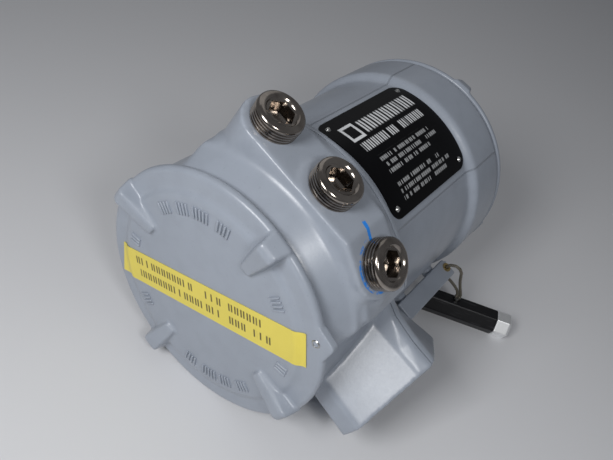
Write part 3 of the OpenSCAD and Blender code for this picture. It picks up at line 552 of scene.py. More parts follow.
def lanyard_wire():
    """Twisted wire under a clear sleeve."""
    f = Finish("lanyard wire", Coat_Weight=0.3, Coat_Roughness=0.2)
    shade = chosen(bpy.context.scene.meter_lanyard.wire)
    x, y, z = f.axes(MILLIMETRES)
    strand = ((x * 0.5 + y * 0.4 + z) * 4.4).math("SINE") * 0.5 + 0.5
    dirt = f.noise(3.0, 3.0, 0.6)
    # The twist is painted darker in its grooves and lighter along its strands, following its own bump:
    # painted shade and painted highlight.
    base = f.mix(strand * 0.7, tint(shade, 0.55), tint(shade, 1.25))
    base = f.mix((dirt - 0.4) * 1.2, base, tint(shade, 0.6))
    f.bump(strand, 0.2, 0.8)
    return f.paint(base, dirt * 0.2 + 0.3)


def pale_floor():
    """Matt painted bench top, faintly clouded."""
    f = Finish("pale floor")
    shade = chosen(bpy.context.scene.meter_stage.floor)
    clouds = f.noise(260.0, 3.0, 0.5)
    return f.paint(f.mix(clouds * 0.5, shade, tint(shade, 0.97)), clouds * 0.1 + 0.6)


# Metals: name, colour, roughness, grain in millimetres, colour of the stains, brushing and wear
METALS = {
    # The plugs' thread roots are painted dark as painted shade in the grooves.
    "plug_root_painted_shade": ("dirt in the plugs' threads", colour(96, 90, 84), 0.4, 1.2, colour(44, 38, 32), 0.4, 0.8),
    # The thread crests are painted light as a painted highlight.
    "plug_crest_painted_highlight": ("worn thread crests", colour(246, 238, 226), 0.34, 1.0, colour(206, 180, 140), 0.4, 0.9),
    "screw_steel": ("stainless screws", colour(190, 190, 188), 0.26, 1.6, None, 0.25),
    "adapter_steel": ("turned adapter steel", colour(172, 172, 170), 0.3, 2.0, None, 0.4),
    "retainer_aluminium": ("turned aluminium", colour(200, 201, 203), 0.36, 2.2, None, 0.4),
    "chassis_steel": ("plated sheet steel", colour(186, 186, 176), 0.34, 5.0, colour(150, 148, 130)),
    "magnet_steel": ("satin magnet steel", colour(252, 253, 253), 0.5, 1.2, colour(214, 216, 218), 0.3, 0.5),
    "brass": ("brass", colour(204, 182, 128), 0.24, 2.0, colour(150, 122, 70)),
}

# Mouldings: name, colour, roughness, grain in millimetres, its depth, specks and lift of the marks
PLASTICS = {
    "rubber_black": ("black rubber", colour(26, 26, 27), 0.7, 0.6, 0.05, 0.2, 1.5),
    "terminal_black": ("black terminal moulding", colour(34, 34, 36), 0.5),
    "terminal_green": ("green terminal moulding", colour(64, 146, 74), 0.46),
    "bezel_grey": ("grey bezel moulding", colour(88, 92, 98), 0.5, 0.7),
    "feedthrough_resin": ("potting resin", colour(44, 40, 36), 0.38, 1.4, 0.08),
}

OTHERS = {
    "grey_paint": lambda: enamel("grey enamel"),
    "sealed_paint": lambda: enamel("grey enamel with sealant", sealant=True),
    "pad_paint": lambda: enamel("grey enamel over the plate's pad", pad=True),
    "plug_nickel": lambda: metal("dark nickel", chosen(bpy.context.scene.meter_plugs.nickel), 0.13, 1.4,
                                 colour(60, 50, 44), 0.25, 0.9),
    "plug_socket": lambda: metal("browned nickel in the sockets",
                                 chosen(bpy.context.scene.meter_plugs.socket), 0.42, 2.6,
                                 colour(150, 96, 44), 0.6, 0.8),
    "stylus_black": stylus_plastic,
    "board_green": solder_mask,
    "lcd": display,
    "window_glass": window_glass,
    "label_yellow": label_tape,
    "plate_black": etched_plate,
    "cord_grey": lanyard_wire,
    "floor": pale_floor,
}

FINISHES = {}


def finish(name):
    """The material of a slot, made the first time that it is asked for."""
    if name not in FINISHES:
        if name in METALS:
            FINISHES[name] = metal(*METALS[name])
        elif name in PLASTICS:
            FINISHES[name] = plastic(*PLASTICS[name])
        else:
            FINISHES[name] = OTHERS[name]()
    return FINISHES[name]


# Mesh building

def to_object(bm, name, body, slot, place, replaced=(), crease=35, materials=()):
    """Turns a bmesh in a piece's own frame and unit into a finished piece."""
    bmesh.ops.remove_doubles(bm, verts=bm.verts, dist=0.0005)
    bmesh.ops.transform(bm, matrix=place, verts=bm.verts)
    bmesh.ops.recalc_face_normals(bm, faces=bm.faces)
    mesh = bpy.data.meshes.new(name)
    bm.to_mesh(mesh)
    bm.free()
    as_piece(mesh, name, body, slot, replaced, crease, materials)


def as_piece(mesh, name, body, slot, replaced, crease, materials=()):
    """Makes a mesh a piece that rides on its body, in place of the solids that it replaces."""
    mesh.materials.clear()
    for material in materials or (slot,):
        mesh.materials.append(finish(material))
    mesh.shade_smooth()
    mesh.set_sharp_from_angle(angle=radians(crease))
    obj = bpy.data.objects.new(name, mesh)
    bpy.context.scene.collection.objects.link(obj)
    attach(obj, body)
    if replaced:
        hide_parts(*replaced)


def turned(bm, outline, steps, closed=False):
    """A ring or solid turned from an outline of radius and height."""
    verts = [bm.verts.new((r, 0, z)) for r, z in outline]
    edges = [bm.edges.new(pair) for pair in zip(verts, verts[1:] + verts[:1] if closed else verts[1:])]
    bmesh.ops.spin(bm, geom=verts + edges, cent=(0, 0, 0), axis=(0, 0, 1), dvec=(0, 0, 0),
                   angle=2 * pi, steps=steps, use_merge=True, use_duplicate=False)


def thread(top, bottom, radius, pitch, depth, inward=False, taper=PIPE_TAPER):
    """Crests and roots of a thread, from its top down, as an outline."""
    points = []
    z = top
    sign = -1 if inward else 1
    while z - pitch > bottom:
        r = radius - sign * (top - z) * taper
        points += [(r - sign * depth, z), (r, z - pitch * 0.32), (r, z - pitch * 0.68)]
        z -= pitch
    points.append((radius - sign * (top - z) * taper - sign * depth, z))
    return points


def block(bm, size, middle, soft, place):
    """A block with softened edges."""
    made = bmesh.ops.create_cube(bm, size=1.0)["verts"]
    bmesh.ops.scale(bm, vec=size, verts=made)
    bmesh.ops.translate(bm, vec=middle, verts=made)
    edges = list({e for v in made for e in v.link_edges})
    made = bmesh.ops.bevel(bm, geom=edges, offset=soft, offset_type="OFFSET", segments=3,
                           profile=0.5, affect="EDGES", material=-1, clamp_overlap=True)["verts"]
    bmesh.ops.transform(bm, matrix=place, verts=made)


def hull(bm, points, place):
    """Wraps a closed skin round some points."""
    verts = [bmesh.ops.create_vert(bm, co=p)["vert"][0] for p in points]
    bmesh.ops.convex_hull(bm, input=verts, use_existing_faces=False)
    bmesh.ops.delete(bm, geom=[v for v in verts if not v.link_faces], context="VERTS")
    bmesh.ops.transform(bm, matrix=place, verts=[v for v in verts if v.is_valid])


def ball(x, y, z, radius):
    """Points over a ball, for a hull."""
    rings = [(radius * sin(pi * i / 4), radius * cos(pi * i / 4)) for i in range(5)]
    return [(x + r * cos(pi * j / 4), y + r * sin(pi * j / 4), z + h)
            for r, h in rings for j in range(8 if r > 1e-6 else 1)]


def cast(bm, name, grain, passes):
    """Melts overlapping closed volumes into one skin and softens it."""
    mesh = bpy.data.meshes.new(name)
    bm.to_mesh(mesh)
    bm.free()
    blank = bpy.data.objects.new(name + "_blank", mesh)
    bpy.context.scene.collection.objects.link(blank)
    shell = blank.modifiers.new("Cast", "REMESH")
    shell.mode = "VOXEL"
    shell.voxel_size = grain
    shell.adaptivity = 0.0
    depsgraph = bpy.context.evaluated_depsgraph_get()
    skin = bpy.data.meshes.new_from_object(blank.evaluated_get(depsgraph))
    bpy.data.objects.remove(blank)
    skin.name = name
    bm = bmesh.new()
    bm.from_mesh(skin)
    for _ in range(passes):
        bmesh.ops.smooth_vert(bm, verts=bm.verts, factor=0.5,
                              use_axis_x=True, use_axis_y=True, use_axis_z=True)
    bm.to_mesh(skin)
    bm.free()
    return skin


def copied(node):
    """A copy of a solid's mesh with its triangles joined."""
    bm = bmesh.new()
    bm.from_mesh(NODES[node].data)
    bmesh.ops.remove_doubles(bm, verts=bm.verts, dist=0.000001)
    return bm


def recast(node, name, slot, grain, passes):
    """Copies a solid, then melts its edges and joints together as a moulding has them."""
    as_piece(cast(copied(node), name, grain, passes), name, "head", slot, (node,), 180)


def at_seam(side):
    """World place of one casting's face at the joint, along the enclosure's axis."""
    return (ORIGIN.y + SEAM_Z + side * SEAM_HALF) * 0.001


def cast_half(node, name, paint, side, forms, grain, passes):
    """Casts one half of the enclosure, its joint face cut clean and flat."""
    bm = copied(node)
    face = at_seam(side)
    for v in bm.verts:
        if abs(v.co.y - face) < 0.00002:
            v.co.y -= side * JOINT_STOCK
    forms(bm)
    mesh = cast(bm, name, grain, passes)
    bm = bmesh.new()
    bm.from_mesh(mesh)
    bmesh.ops.bisect_plane(bm, geom=bm.verts[:] + bm.edges[:] + bm.faces[:], dist=0.0000001,
                           plane_co=(0, face, 0), plane_no=(0, -side, 0), clear_outer=True)
    bmesh.ops.triangle_fill(bm, edges=[e for e in bm.edges if e.is_boundary], normal=(0, -side, 0))
    bmesh.ops.recalc_face_normals(bm, faces=bm.faces)
    bm.to_mesh(mesh)
    bm.free()
    as_piece(mesh, name, "head", "grey_paint", (node,), 65, (paint,))


# Sizes and colours that a user would change

class CastingSettings(bpy.types.PropertyGroup):
    """Castings and their paint."""
    paint: bpy.props.FloatVectorProperty(
        name="Paint", description="Colour of the enamel", subtype="COLOR", size=3, min=0, max=1,
        default=colour(148, 155, 166)[:3])
    sealant: bpy.props.FloatVectorProperty(
        name="Sealant", description="Colour of the thread sealant left by the lower entry",
        subtype="COLOR", size=3, min=0, max=1, default=colour(40, 130, 220)[:3])
    grain: bpy.props.FloatProperty(
        name="Edge softness", description="Grain at which the castings' edges melt together",
        subtype="DISTANCE", unit="LENGTH", default=0.0011, min=0.0008, max=0.003, precision=5)
    rear_grain: bpy.props.FloatProperty(
        name="Rear edge softness", description="Grain at which the long rear casting's edges melt together",
        subtype="DISTANCE", unit="LENGTH", default=0.00145, min=0.0008, max=0.003, precision=5)
    passes: bpy.props.IntProperty(
        name="Smoothing", description="How often the castings' skin is smoothed", default=3, min=0, max=20)
    peel: bpy.props.FloatProperty(
        name="Orange peel", description="Size of the lumps in the paint",
        subtype="DISTANCE", unit="LENGTH", default=0.0013, min=0.0004, max=0.006, precision=5)


class CoverSettings(bpy.types.PropertyGroup):
    """Screwed covers and the raised marks on them."""
    grain: bpy.props.FloatProperty(
        name="Edge softness", description="Grain at which the covers' edges melt together",
        subtype="DISTANCE", unit="LENGTH", default=0.00075, min=0.0007, max=0.003, precision=5)
    passes: bpy.props.IntProperty(
        name="Smoothing", description="How often the covers' skin is smoothed", default=2, min=0, max=20)
    mark_radius: bpy.props.FloatProperty(
        name="Mark radius", description="Radius of the ring of raised marks",
        subtype="DISTANCE", unit="LENGTH", default=0.055, min=0.05, max=0.057)
    mark_height: bpy.props.FloatProperty(
        name="Mark height", description="How far the marks stand out of the cover",
        subtype="DISTANCE", unit="LENGTH", default=0.0011, min=0.0002, max=0.0015, precision=5)


class LabelSettings(bpy.types.PropertyGroup):
    """Strip label on the wiring cover."""
    tape: bpy.props.FloatVectorProperty(
        name="Tape", description="Colour of the tape", subtype="COLOR", size=3, min=0, max=1,
        default=colour(226, 208, 88)[:3])
    ink: bpy.props.FloatVectorProperty(
        name="Ink", description="Colour of the printed marks", subtype="COLOR", size=3, min=0, max=1,
        default=colour(52, 40, 14)[:3])
    thickness: bpy.props.FloatProperty(
        name="Thickness", description="Thickness of the tape",
        subtype="DISTANCE", unit="LENGTH", default=0.00025, min=0.0001, max=0.0003, precision=5)


class PlugSettings(bpy.types.PropertyGroup):
    """Plugs in the cable entries and the adapter in the neck."""
    nickel: bpy.props.FloatVectorProperty(
        name="Nickel", description="Colour of the plating", subtype="COLOR", size=3, min=0, max=1,
        default=colour(176, 168, 160)[:3])
    socket: bpy.props.FloatVectorProperty(
        name="Socket", description="Colour of the stained sockets", subtype="COLOR", size=3, min=0, max=1,
        default=colour(255, 200, 120)[:3])
    pitch: bpy.props.FloatProperty(
        name="Thread pitch", description="Distance between the threads' crests",
        subtype="DISTANCE", unit="LENGTH", default=0.001814, min=0.001, max=0.003, precision=6)
    depth: bpy.props.FloatProperty(
        name="Thread depth", description="Depth of the threads",
        subtype="DISTANCE", unit="LENGTH", default=0.00125, min=0.0004, max=0.0016, precision=5)


class PlateSettings(bpy.types.PropertyGroup):
    """Data plate."""
    black: bpy.props.FloatVectorProperty(
        name="Black", description="Colour of the plate", subtype="COLOR", size=3, min=0, max=1,
        default=colour(8, 8, 10)[:3])
    ink: bpy.props.FloatVectorProperty(
        name="Marks", description="Colour of the marks", subtype="COLOR", size=3, min=0, max=1,
        default=colour(222, 224, 226)[:3])


class LanyardSettings(bpy.types.PropertyGroup):
    """Lanyard and stylus."""
    wire: bpy.props.FloatVectorProperty(
        name="Wire", description="Colour of the lanyard", subtype="COLOR", size=3, min=0, max=1,
        default=colour(112, 106, 92)[:3])
    stylus: bpy.props.FloatVectorProperty(
        name="Stylus", description="Colour of the stylus", subtype="COLOR", size=3, min=0, max=1,
        default=colour(11, 11, 14)[:3])
    diameter: bpy.props.FloatProperty(
        name="Diameter", description="Diameter of the lanyard",
        subtype="DISTANCE", unit="LENGTH", default=0.0022, min=0.001, max=0.003, precision=5)


class StageSettings(bpy.types.PropertyGroup):
    """Floor, lamps and camera."""
    floor: bpy.props.FloatVectorProperty(
        name="Floor", description="Colour of the floor", subtype="COLOR", size=3, min=0, max=1,
        default=colour(214, 215, 218)[:3])
    key: bpy.props.FloatProperty(
        name="Key", description="Power of the lamp over the camera", subtype="POWER", unit="POWER",
        default=2.8, min=0)
    glint: bpy.props.FloatProperty(
        name="Glint", description="Power of the small lamp on the right", subtype="POWER", unit="POWER",
        default=1.0, min=0)
    fill: bpy.props.FloatProperty(
        name="Fill", description="Power of the lamp behind the bench", subtype="POWER", unit="POWER",
        default=0.7, min=0)
    sky: bpy.props.FloatProperty(
        name="Surround", description="Brightness of the room round the bench", default=0.145, min=0)
    lens: bpy.props.FloatProperty(
        name="Lens", description="Focal length on a 36 mm wide picture", default=36.4, min=10, max=200)


# Pieces

class METER_OT_stage(bpy.types.Operator):
    """Lays the floor, hangs the lamps and stands the camera"""
    bl_idname = "meter.stage"
    bl_label = "Stage"

    def execute(self, context):
        stage = context.scene.meter_stage
        bm = bmesh.new()
        bmesh.ops.create_grid(bm, x_segments=4, y_segments=4, size=3.0)
        mesh = bpy.data.meshes.new("floor")
        bm.to_mesh(mesh)
        bm.free()
        mesh.materials.append(finish("floor"))
        floor = bpy.data.objects.new("floor", mesh)
        context.scene.collection.objects.link(floor)

        world = bpy.data.worlds.new("surround")
        world.use_nodes = True
        world.node_tree.nodes["Background"].inputs["Color"].default_value = (0.93, 0.95, 1.0, 1.0)
        world.node_tree.nodes["Background"].inputs["Strength"].default_value = stage.sky
        context.scene.world = world

        for name, width, place in LAMPS:
            lamp = bpy.data.lights.new(name, "AREA")
            lamp.shape = "SQUARE"
            lamp.size = width
            lamp.energy = getattr(stage, name)
            hung = bpy.data.objects.new(name, lamp)
            hung.location = place
            hung.rotation_euler = (Vector(LAMP_AIM) - Vector(place)).to_track_quat("-Z", "Y").to_euler()
            context.scene.collection.objects.link(hung)

        eye = bpy.data.cameras.new("camera")
        eye.lens = stage.lens
        eye.sensor_width = 36
        camera = bpy.data.objects.new("camera", eye)
        back = Vector(CAMERA_BACK).normalized()
        right = Vector(CAMERA_UP).cross(back).normalized()
        turn = Matrix((right, back.cross(right), back)).transposed().to_4x4()
        camera.matrix_world = Matrix.Translation(CAMERA_PLACE) @ turn
        context.scene.collection.objects.link(camera)
        context.scene.camera = camera
        context.scene.view_settings.view_transform = "Standard"
        return {"FINISHED"}


SLOT_NODES = {
    "grey_paint": ("front_housing", "rear_housing", "wiring_cover", "display_cover", "lanyard_bar"),
    "rubber_black": ("seam_gasket", "wiring_cover_oring", "display_cover_oring", "window_gasket"),
    "screw_steel": ("housing_bolts", "wiring_cover_lock_screw", "display_cover_lock_screw",
                    "retainer_screws", "data_plate_rivets", "terminal_board_screws", "chassis_screws",
                    "bezel_screws", "lanyard_bar_screws", "lanyard_crimp"),
    "adapter_steel": ("neck_adapter",),
    "plug_nickel": ("conduit_plug_upper", "conduit_plug_middle", "conduit_plug_lower"),
    "label_yellow": ("strip_label",),
    "window_glass": ("display_window",),
    "retainer_aluminium": ("window_retainer",),
    "plate_black": ("data_plate",),
    "board_green": ("terminal_board", "main_board", "power_board", "display_board"),
    "terminal_black": ("terminal_header", "power_terminal"),
    "terminal_green": ("terminal_plug_a", "terminal_plug_b"),
    "brass": ("ground_screw", "board_standoffs", "lanyard_grommet"),
    "feedthrough_resin": ("feedthrough",),
    "chassis_steel": ("chassis_plate",),
    "lcd": ("lcd_module",),
    "bezel_grey": ("display_bezel",),
    "cord_grey": ("lanyard_loop",),
    "stylus_black": ("stylus_body",),
    "magnet_steel": ("stylus_magnet",),
}


class METER_OT_finishes(bpy.types.Operator):
    """Gives every solid the finish of its material slot"""
    bl_idname = "meter.finishes"
    bl_label = "Finishes"

    def execute(self, context):
        left = set(NODES)
        for slot, nodes in SLOT_NODES.items():
            for node in nodes:
                NODES[node].data.materials.clear()
                NODES[node].data.materials.append(finish(slot))
                left.discard(node)
        if left:
            raise RuntimeError(f"no finish is set for {sorted(left)}")
        return {"FINISHED"}


def shoulder_reach(angle):
    """How far out the shoulder reaches at an angle: over two flat faces and down both its ends."""
    reach = min(FACE_REACH / (cos(angle) - FACE_SLOPE * sin(angle)), LOWER_FACE / cos(angle - LOWER_TURN))
    if angle < 0:
        reach = min(reach, UPPER_END / -sin(angle))
    fade = min(max((angle - FADE_START) / FADE_SPAN, 0), 1)
    reach -= (reach - FADE_REACH) * fade * fade * (3 - 2 * fade)
    return max(reach, SHOULDER_ROOT)


def front_forms(bm):
    """The shoulder that joins the entries' bosses, and the fillings beside the neck."""
    verts = [bm.verts.new((r * cos(SHOULDER_START), r * sin(SHOULDER_START), z)) for r, z in SHOULDER]
    edges = [bm.edges.new(pair) for pair in zip(verts, verts[1:] + verts[:1])]
    spun = bmesh.ops.spin(bm, geom=verts + edges, cent=(0, 0, 0), axis=(0, 0, 1), dvec=(0, 0, 0),
                          angle=SHOULDER_SPAN, steps=SHOULDER_STEPS, use_merge=False, use_duplicate=False)
    ends = set(verts) | {g for g in spun["geom_last"] if isinstance(g, bmesh.types.BMVert)}
    # The copied casting is in metres and the shoulder still in millimetres, which tells them apart
    made = [v for v in bm.verts if v.co.length > 1]
    for v in made:
        r = hypot(v.co.x, v.co.y)
        scale = min(r, shoulder_reach(atan2(v.co.y, v.co.x))) / r
        v.co.x *= scale
        v.co.y *= scale
        past = max(UPPER_SHIFT - v.co.y, v.co.y * cos(LOWER_TURN) - v.co.x * sin(LOWER_TURN))
        if r > SHOULDER_FACE_R - 1 and past > 0:
            drop = PORT_R - sqrt(max(0, PORT_R * PORT_R - past * past))
            v.co.z += drop * (1 if v.co.z < PLUG_Z else -1)
    bmesh.ops.holes_fill(bm, edges=[e for e in bm.edges if e.is_boundary and set(e.verts) <= ends], sides=0)
    bmesh.ops.transform(bm, matrix=LYING, verts=made)
    neck_fillings(bm, -1)


def rear_forms(bm):
    """The fillings beside the neck, on the display's side of the joint."""
    neck_fillings(bm, 1)


def neck_fillings(bm, side):
    """Curved fillings between the barrel and both sides of the neck."""
    depth, reach, edge, lean = FILLINGS[side]
    in_x, in_y = FILLING_CORNER
    near, far, end = SEAM_Z - side * FILLING_LAP, SEAM_Z + side * depth, SEAM_Z + side * reach
    for mirrored in (1, -1):
        for (xa, ya), (xb, yb) in zip(NECK_CURVE, NECK_CURVE[1:]):
            points = [(x * mirrored, y, z) for x, y in ((xa, ya), (xb, yb)) for z in (near, far)]
            points += [(in_x * mirrored, y, z) for y in (max(ya, in_y), yb) for z in (near, far)]
            points += [((edge + lean * (y - FACET_Y)) * mirrored, y, end)
                       for y in (max(ya, FACET_Y), max(yb, FACET_Y + 2))]
            hull(bm, points, LYING)


class METER_OT_castings(bpy.types.Operator):
    """Casts the two halves of the enclosure"""
    bl_idname = "meter.castings"
    bl_label = "Castings"

    def execute(self, context):
        castings = context.scene.meter_castings
        cast_half("front_housing", "front_casting", "sealed_paint", -1, front_forms,
                  castings.grain, castings.passes)
        cast_half("rear_housing", "rear_casting", "pad_paint", 1, rear_forms,
                  castings.rear_grain, castings.passes)
        bm = bmesh.new()
        turned(bm, SPIGOT, RING_STEPS, True)
        to_object(bm, "rear_casting_spigot", "head", "grey_paint", LYING)
        return {"FINISHED"}


def lug(bm, angle):
    """One wrench lug: narrow and low inside, rising to a rounded crest at the rim."""
    points = []
    for s in (-1, 1):
        for out, half, z, radius in LUG_BALLS:
            points += ball(out, s * half, z, radius)
        out, half, z, radius = LUG_CREST
        for turn in (0, pi / 6, pi / 3, pi / 2):
            points += ball(out + LUG_CREST_BEND * cos(turn), s * half, z - LUG_CREST_BEND * sin(turn), radius)
    hull(bm, points, Matrix.Rotation(radians(angle), 4, "Z"))


def ear(bm, angle):
    """The pointed ear that the lock screw goes through, flush with the land."""
    outline = [(EAR_REACH + EAR_TIP_R * cos(pi * i / 8), EAR_TIP_R * sin(pi * i / 8)) for i in range(-8, 9)]
    outline += [(EAR_ROOT_R * cos(radians(a)), EAR_ROOT_R * sin(radians(a))) for a in range(-8, 9, 4)]
    points = [(x, y, z) for x, y in outline for z in (LAND_Z, BACK_Z)]
    hull(bm, points, Matrix.Rotation(radians(angle), 4, "Z"))


def socketed(bm, outline, top, across, depth):
    """A turned head whose outline starts round its hexagon socket, which ends in a dished floor."""
    turned(bm, outline, SOCKET_STEPS)
    bmesh.ops.remove_doubles(bm, verts=bm.verts, dist=0.001)
    rim = [e for e in bm.edges if e.is_boundary]
    hexagon = bmesh.ops.create_circle(bm, segments=6, radius=across / sqrt(3), cap_ends=False)["verts"]
    bmesh.ops.translate(bm, vec=(0, 0, top), verts=hexagon)
    sides = list({e for v in hexagon for e in v.link_edges})
    bmesh.ops.subdivide_edges(bm, edges=sides, cuts=SOCKET_STEPS // 6 - 1)
    lip = [e for e in bm.edges if e.is_wire]
    bmesh.ops.bridge_loops(bm, edges=rim + lip)
    walls = bmesh.ops.extrude_edge_only(bm, edges=lip)["geom"]
    low = [g for g in walls if isinstance(g, bmesh.types.BMVert)]
    bmesh.ops.translate(bm, vec=(0, 0, -depth), verts=low)
    floor = bmesh.ops.holes_fill(bm, edges=[e for e in bm.edges if e.is_boundary], sides=0)["faces"]
    bmesh.ops.inset_region(bm, faces=floor, thickness=across * 0.17, depth=0)
    bmesh.ops.translate(bm, vec=(0, 0, -across * 0.09), verts=list({v for f in floor for v in f.verts}))


def cover_cap(kind, place, lugs, ears, covers):
    """One cover's casting with its lugs and its ear, bored where it holds the window."""
    bm = bmesh.new()
    outline, closed = CAPS[kind]
    turned(bm, outline, CAP_STEPS, closed)
    for quarter in range(4):
        lug(bm, lugs + quarter * 90)
    ear(bm, ears)
    bmesh.ops.remove_doubles(bm, verts=bm.verts, dist=0.001)
    bmesh.ops.transform(bm, matrix=place, verts=bm.verts)
    bmesh.ops.recalc_face_normals(bm, faces=bm.faces)
    name = kind + "_cover_casting"
    as_piece(cast(bm, name, covers.grain, covers.passes), name, kind + "_cover_turn", "grey_paint",
             (kind + "_cover",), 180)


def cover_skirt(kind, place):
    """One cover's threaded skirt, stepped inside where it holds the window."""
    bm = bmesh.new()
    outline = [(SKIRT_ROOT_R, CAP_INSIDE), (SKIRT_ROOT_R, SKIRT_ROOT_Z)]
    outline += [(r, SKIRT_ROOT_Z + SKIRT_END_Z - z) for r, z in
                thread(SKIRT_END_Z, SKIRT_THREAD_Z, SKIRT_R, SKIRT_PITCH, THREAD_DEPTH, taper=0)]
    outline += [(SKIRT_TIP_R, SKIRT_END_Z), (SKIRT_IN_R + 0.6, SKIRT_END_Z), (SKIRT_IN_R, SKIRT_END_Z - 0.6)]
    turned(bm, outline + SKIRT_FEET[kind], SKIRT_STEPS, True)
    to_object(bm, kind + "_cover_skirt", kind + "_cover_turn", "retainer_aluminium", place)


def cover_lock(kind, place, ears):
    """The socket set screw in the ear."""
    bm = bmesh.new()
    socketed(bm, LOCK_OUTLINE, LOCK_SOCKET_TOP, LOCK_AF, LOCK_SOCKET_DEPTH)
    spot = (place @ Matrix.Rotation(radians(ears), 4, "Z")
            @ Matrix.Translation((LOCK_PCR, 0, LAND_Z - LOCK_SUNK)) @ Matrix.Rotation(pi, 4, "X"))
    to_object(bm, kind + "_cover_lock", kind + "_cover_turn", "screw_steel", spot,
              (kind + "_cover_lock_screw",), 30)


def cover_marks(kind, place, lugs, covers):
    """Plain raised marks in the four quarters of the face, clear of the strip label."""
    bm = bmesh.new()
    radius = covers.mark_radius * 1000
    height = covers.mark_height * 1000
    for quarter in range(4):
        for step in range(MARK_COUNT):
            angle = radians(lugs + quarter * 90 + MARK_START + step * MARK_STEP)
            off_label = abs(radius * sin(angle - radians(STRIP_ANGLE))) - STRIP_W / 2
            if step in MARK_GAPS or (kind == "wiring" and off_label < MARK_LABEL_GAP):
                continue
            spot = Matrix.Rotation(angle, 4, "Z") @ Matrix.Translation((radius, 0, 0))
            block(bm, (MARK_L, MARK_W, 2 * height), (0, 0, 0), MARK_SOFT, spot)
    to_object(bm, kind + "_cover_marks", kind + "_cover_turn", "grey_paint", place)


class METER_OT_covers(bpy.types.Operator):
    """Casts the two screwed covers, their skirts, lock screws and rings of raised marks"""
    bl_idname = "meter.covers"
    bl_label = "Covers"

    def execute(self, context):
        covers = context.scene.meter_covers
        for kind, place, lugs, ears in zip(CAPS, (LYING, FAR_END), LUG_ANGLES, EAR_ANGLES):
            cover_cap(kind, place, lugs, ears, covers)
            cover_skirt(kind, place)
            cover_lock(kind, place, ears)
            cover_marks(kind, place, lugs, covers)
        return {"FINISHED"}


class METER_OT_label(bpy.types.Operator):
    """Lays the strip label over the wiring cover's face"""
    bl_idname = "meter.label"
    bl_label = "Strip label"

    def execute(self, context):
        thickness = context.scene.meter_label.thickness * 1000
        bm = bmesh.new()
        along, across = STRIP_GRID
        made = bmesh.ops.create_grid(bm, x_segments=along, y_segments=across, size=0.5)["verts"]
        bmesh.ops.scale(bm, vec=(STRIP_L, STRIP_W, 1), verts=made)
        bmesh.ops.translate(bm, vec=(STRIP_MIDDLE, 0, 0), verts=made)
        for v in bm.verts:
            v.co.x -= STRIP_SKEW * v.co.y * (STRIP_L / 2 + STRIP_MIDDLE - v.co.x) / STRIP_L
            r = hypot(v.co.x, v.co.y)
            for (ra, za), (rb, zb) in zip(OUTER_FACE[:4], OUTER_FACE[1:5]):
                if ra <= r < rb:
                    v.co.z = za + (zb - za) * (r - ra) / (rb - ra)
            v.co.z -= STRIP_GAP * (2 if r > DISC_R - 1 else 1)
        bmesh.ops.solidify(bm, geom=bm.faces[:], thickness=thickness)
        to_object(bm, "strip_label_tape", "wiring_cover_turn", "label_yellow", STRIP_FRAME, ("strip_label",))
        return {"FINISHED"}


class METER_OT_plugs(bpy.types.Operator):
    """Turns the three threaded plugs with their hexagon sockets"""
    bl_idname = "meter.plugs"
    bl_label = "Conduit plugs"

    def execute(self, context):
        plugs = context.scene.meter_plugs
        pitch = plugs.pitch * 1000
        depth = plugs.depth * 1000
        for name, (shift, turn, face) in zip(("upper", "middle", "lower"), PORTS):
            top = face + PLUG_PROUD
            bottom = top - PLUG_L
            bm = bmesh.new()
            outline = [(8.2, top - 1.2), (8.9, top - 0.3), (9.4, top), (11.2, top), (12.1, top - 0.3),
                       (12.8, top - 0.9), (PLUG_R - 0.1, top - 1.8), (PLUG_R - 0.1, top - 2.3)]
            outline += thread(top - 2.8, bottom, PLUG_R, pitch, depth)
            outline += [(PLUG_R - 2.0, bottom), (0, bottom)]
            socketed(bm, outline, top - 1.3, SOCKET_AF, SOCKET_DEPTH)
            # On the thread, the roots take a painted shade and the crests a painted highlight.
            for f in bm.faces:
                middle = f.calc_center_median()
                reach = hypot(middle.x, middle.y)
                if reach < SOCKET_CORNER_R and middle.z > bottom + 1:
                    f.material_index = 1
                elif reach > RIM_R and middle.z < top - 2.5:
                    crest = PLUG_R - (top - middle.z) * PIPE_TAPER - CREST_BAND
                    f.material_index = 3 if reach > crest else 2
            to_object(bm, "plug_" + name, "head", "plug_nickel", entry_frame(shift, turn),
                      ("conduit_plug_" + name,), 30,
                      ("plug_nickel", "plug_socket", "plug_root_painted_shade", "plug_crest_painted_highlight"))
        return {"FINISHED"}


class METER_OT_adapter(bpy.types.Operator):
    """Turns the threaded adapter that sits in the neck"""
    bl_idname = "meter.adapter"
    bl_label = "Neck adapter"

    def execute(self, context):
        bm = bmesh.new()
        top = ADAPTER_L
        outline = [(10, 0.5), (10.5, 0), (ADAPTER_R - 0.6, 0), (ADAPTER_R, 0.6), (ADAPTER_R, top - 0.8),
                   (ADAPTER_R - 0.8, top), (STEM_R + 2.0, top), (STEM_R + 0.6, top - 1.2)]
        outline += thread(top - 1.2, top - STEM_DEPTH + 3, STEM_R, STEM_PITCH, THREAD_DEPTH, inward=True)
        outline += [(STEM_R - 1.0, top - STEM_DEPTH), (10.5, top - STEM_DEPTH), (10, top - STEM_DEPTH - 0.5)]
        turned(bm, outline, RING_STEPS, True)
        neck = (LYING @ Matrix.Translation((0, NECK_L - ADAPTER_L, SEAM_Z))
                @ Matrix.Rotation(radians(-90), 4, "X"))
        to_object(bm, "adapter", "head", "adapter_steel", neck, ("neck_adapter",), 30)
        return {"FINISHED"}


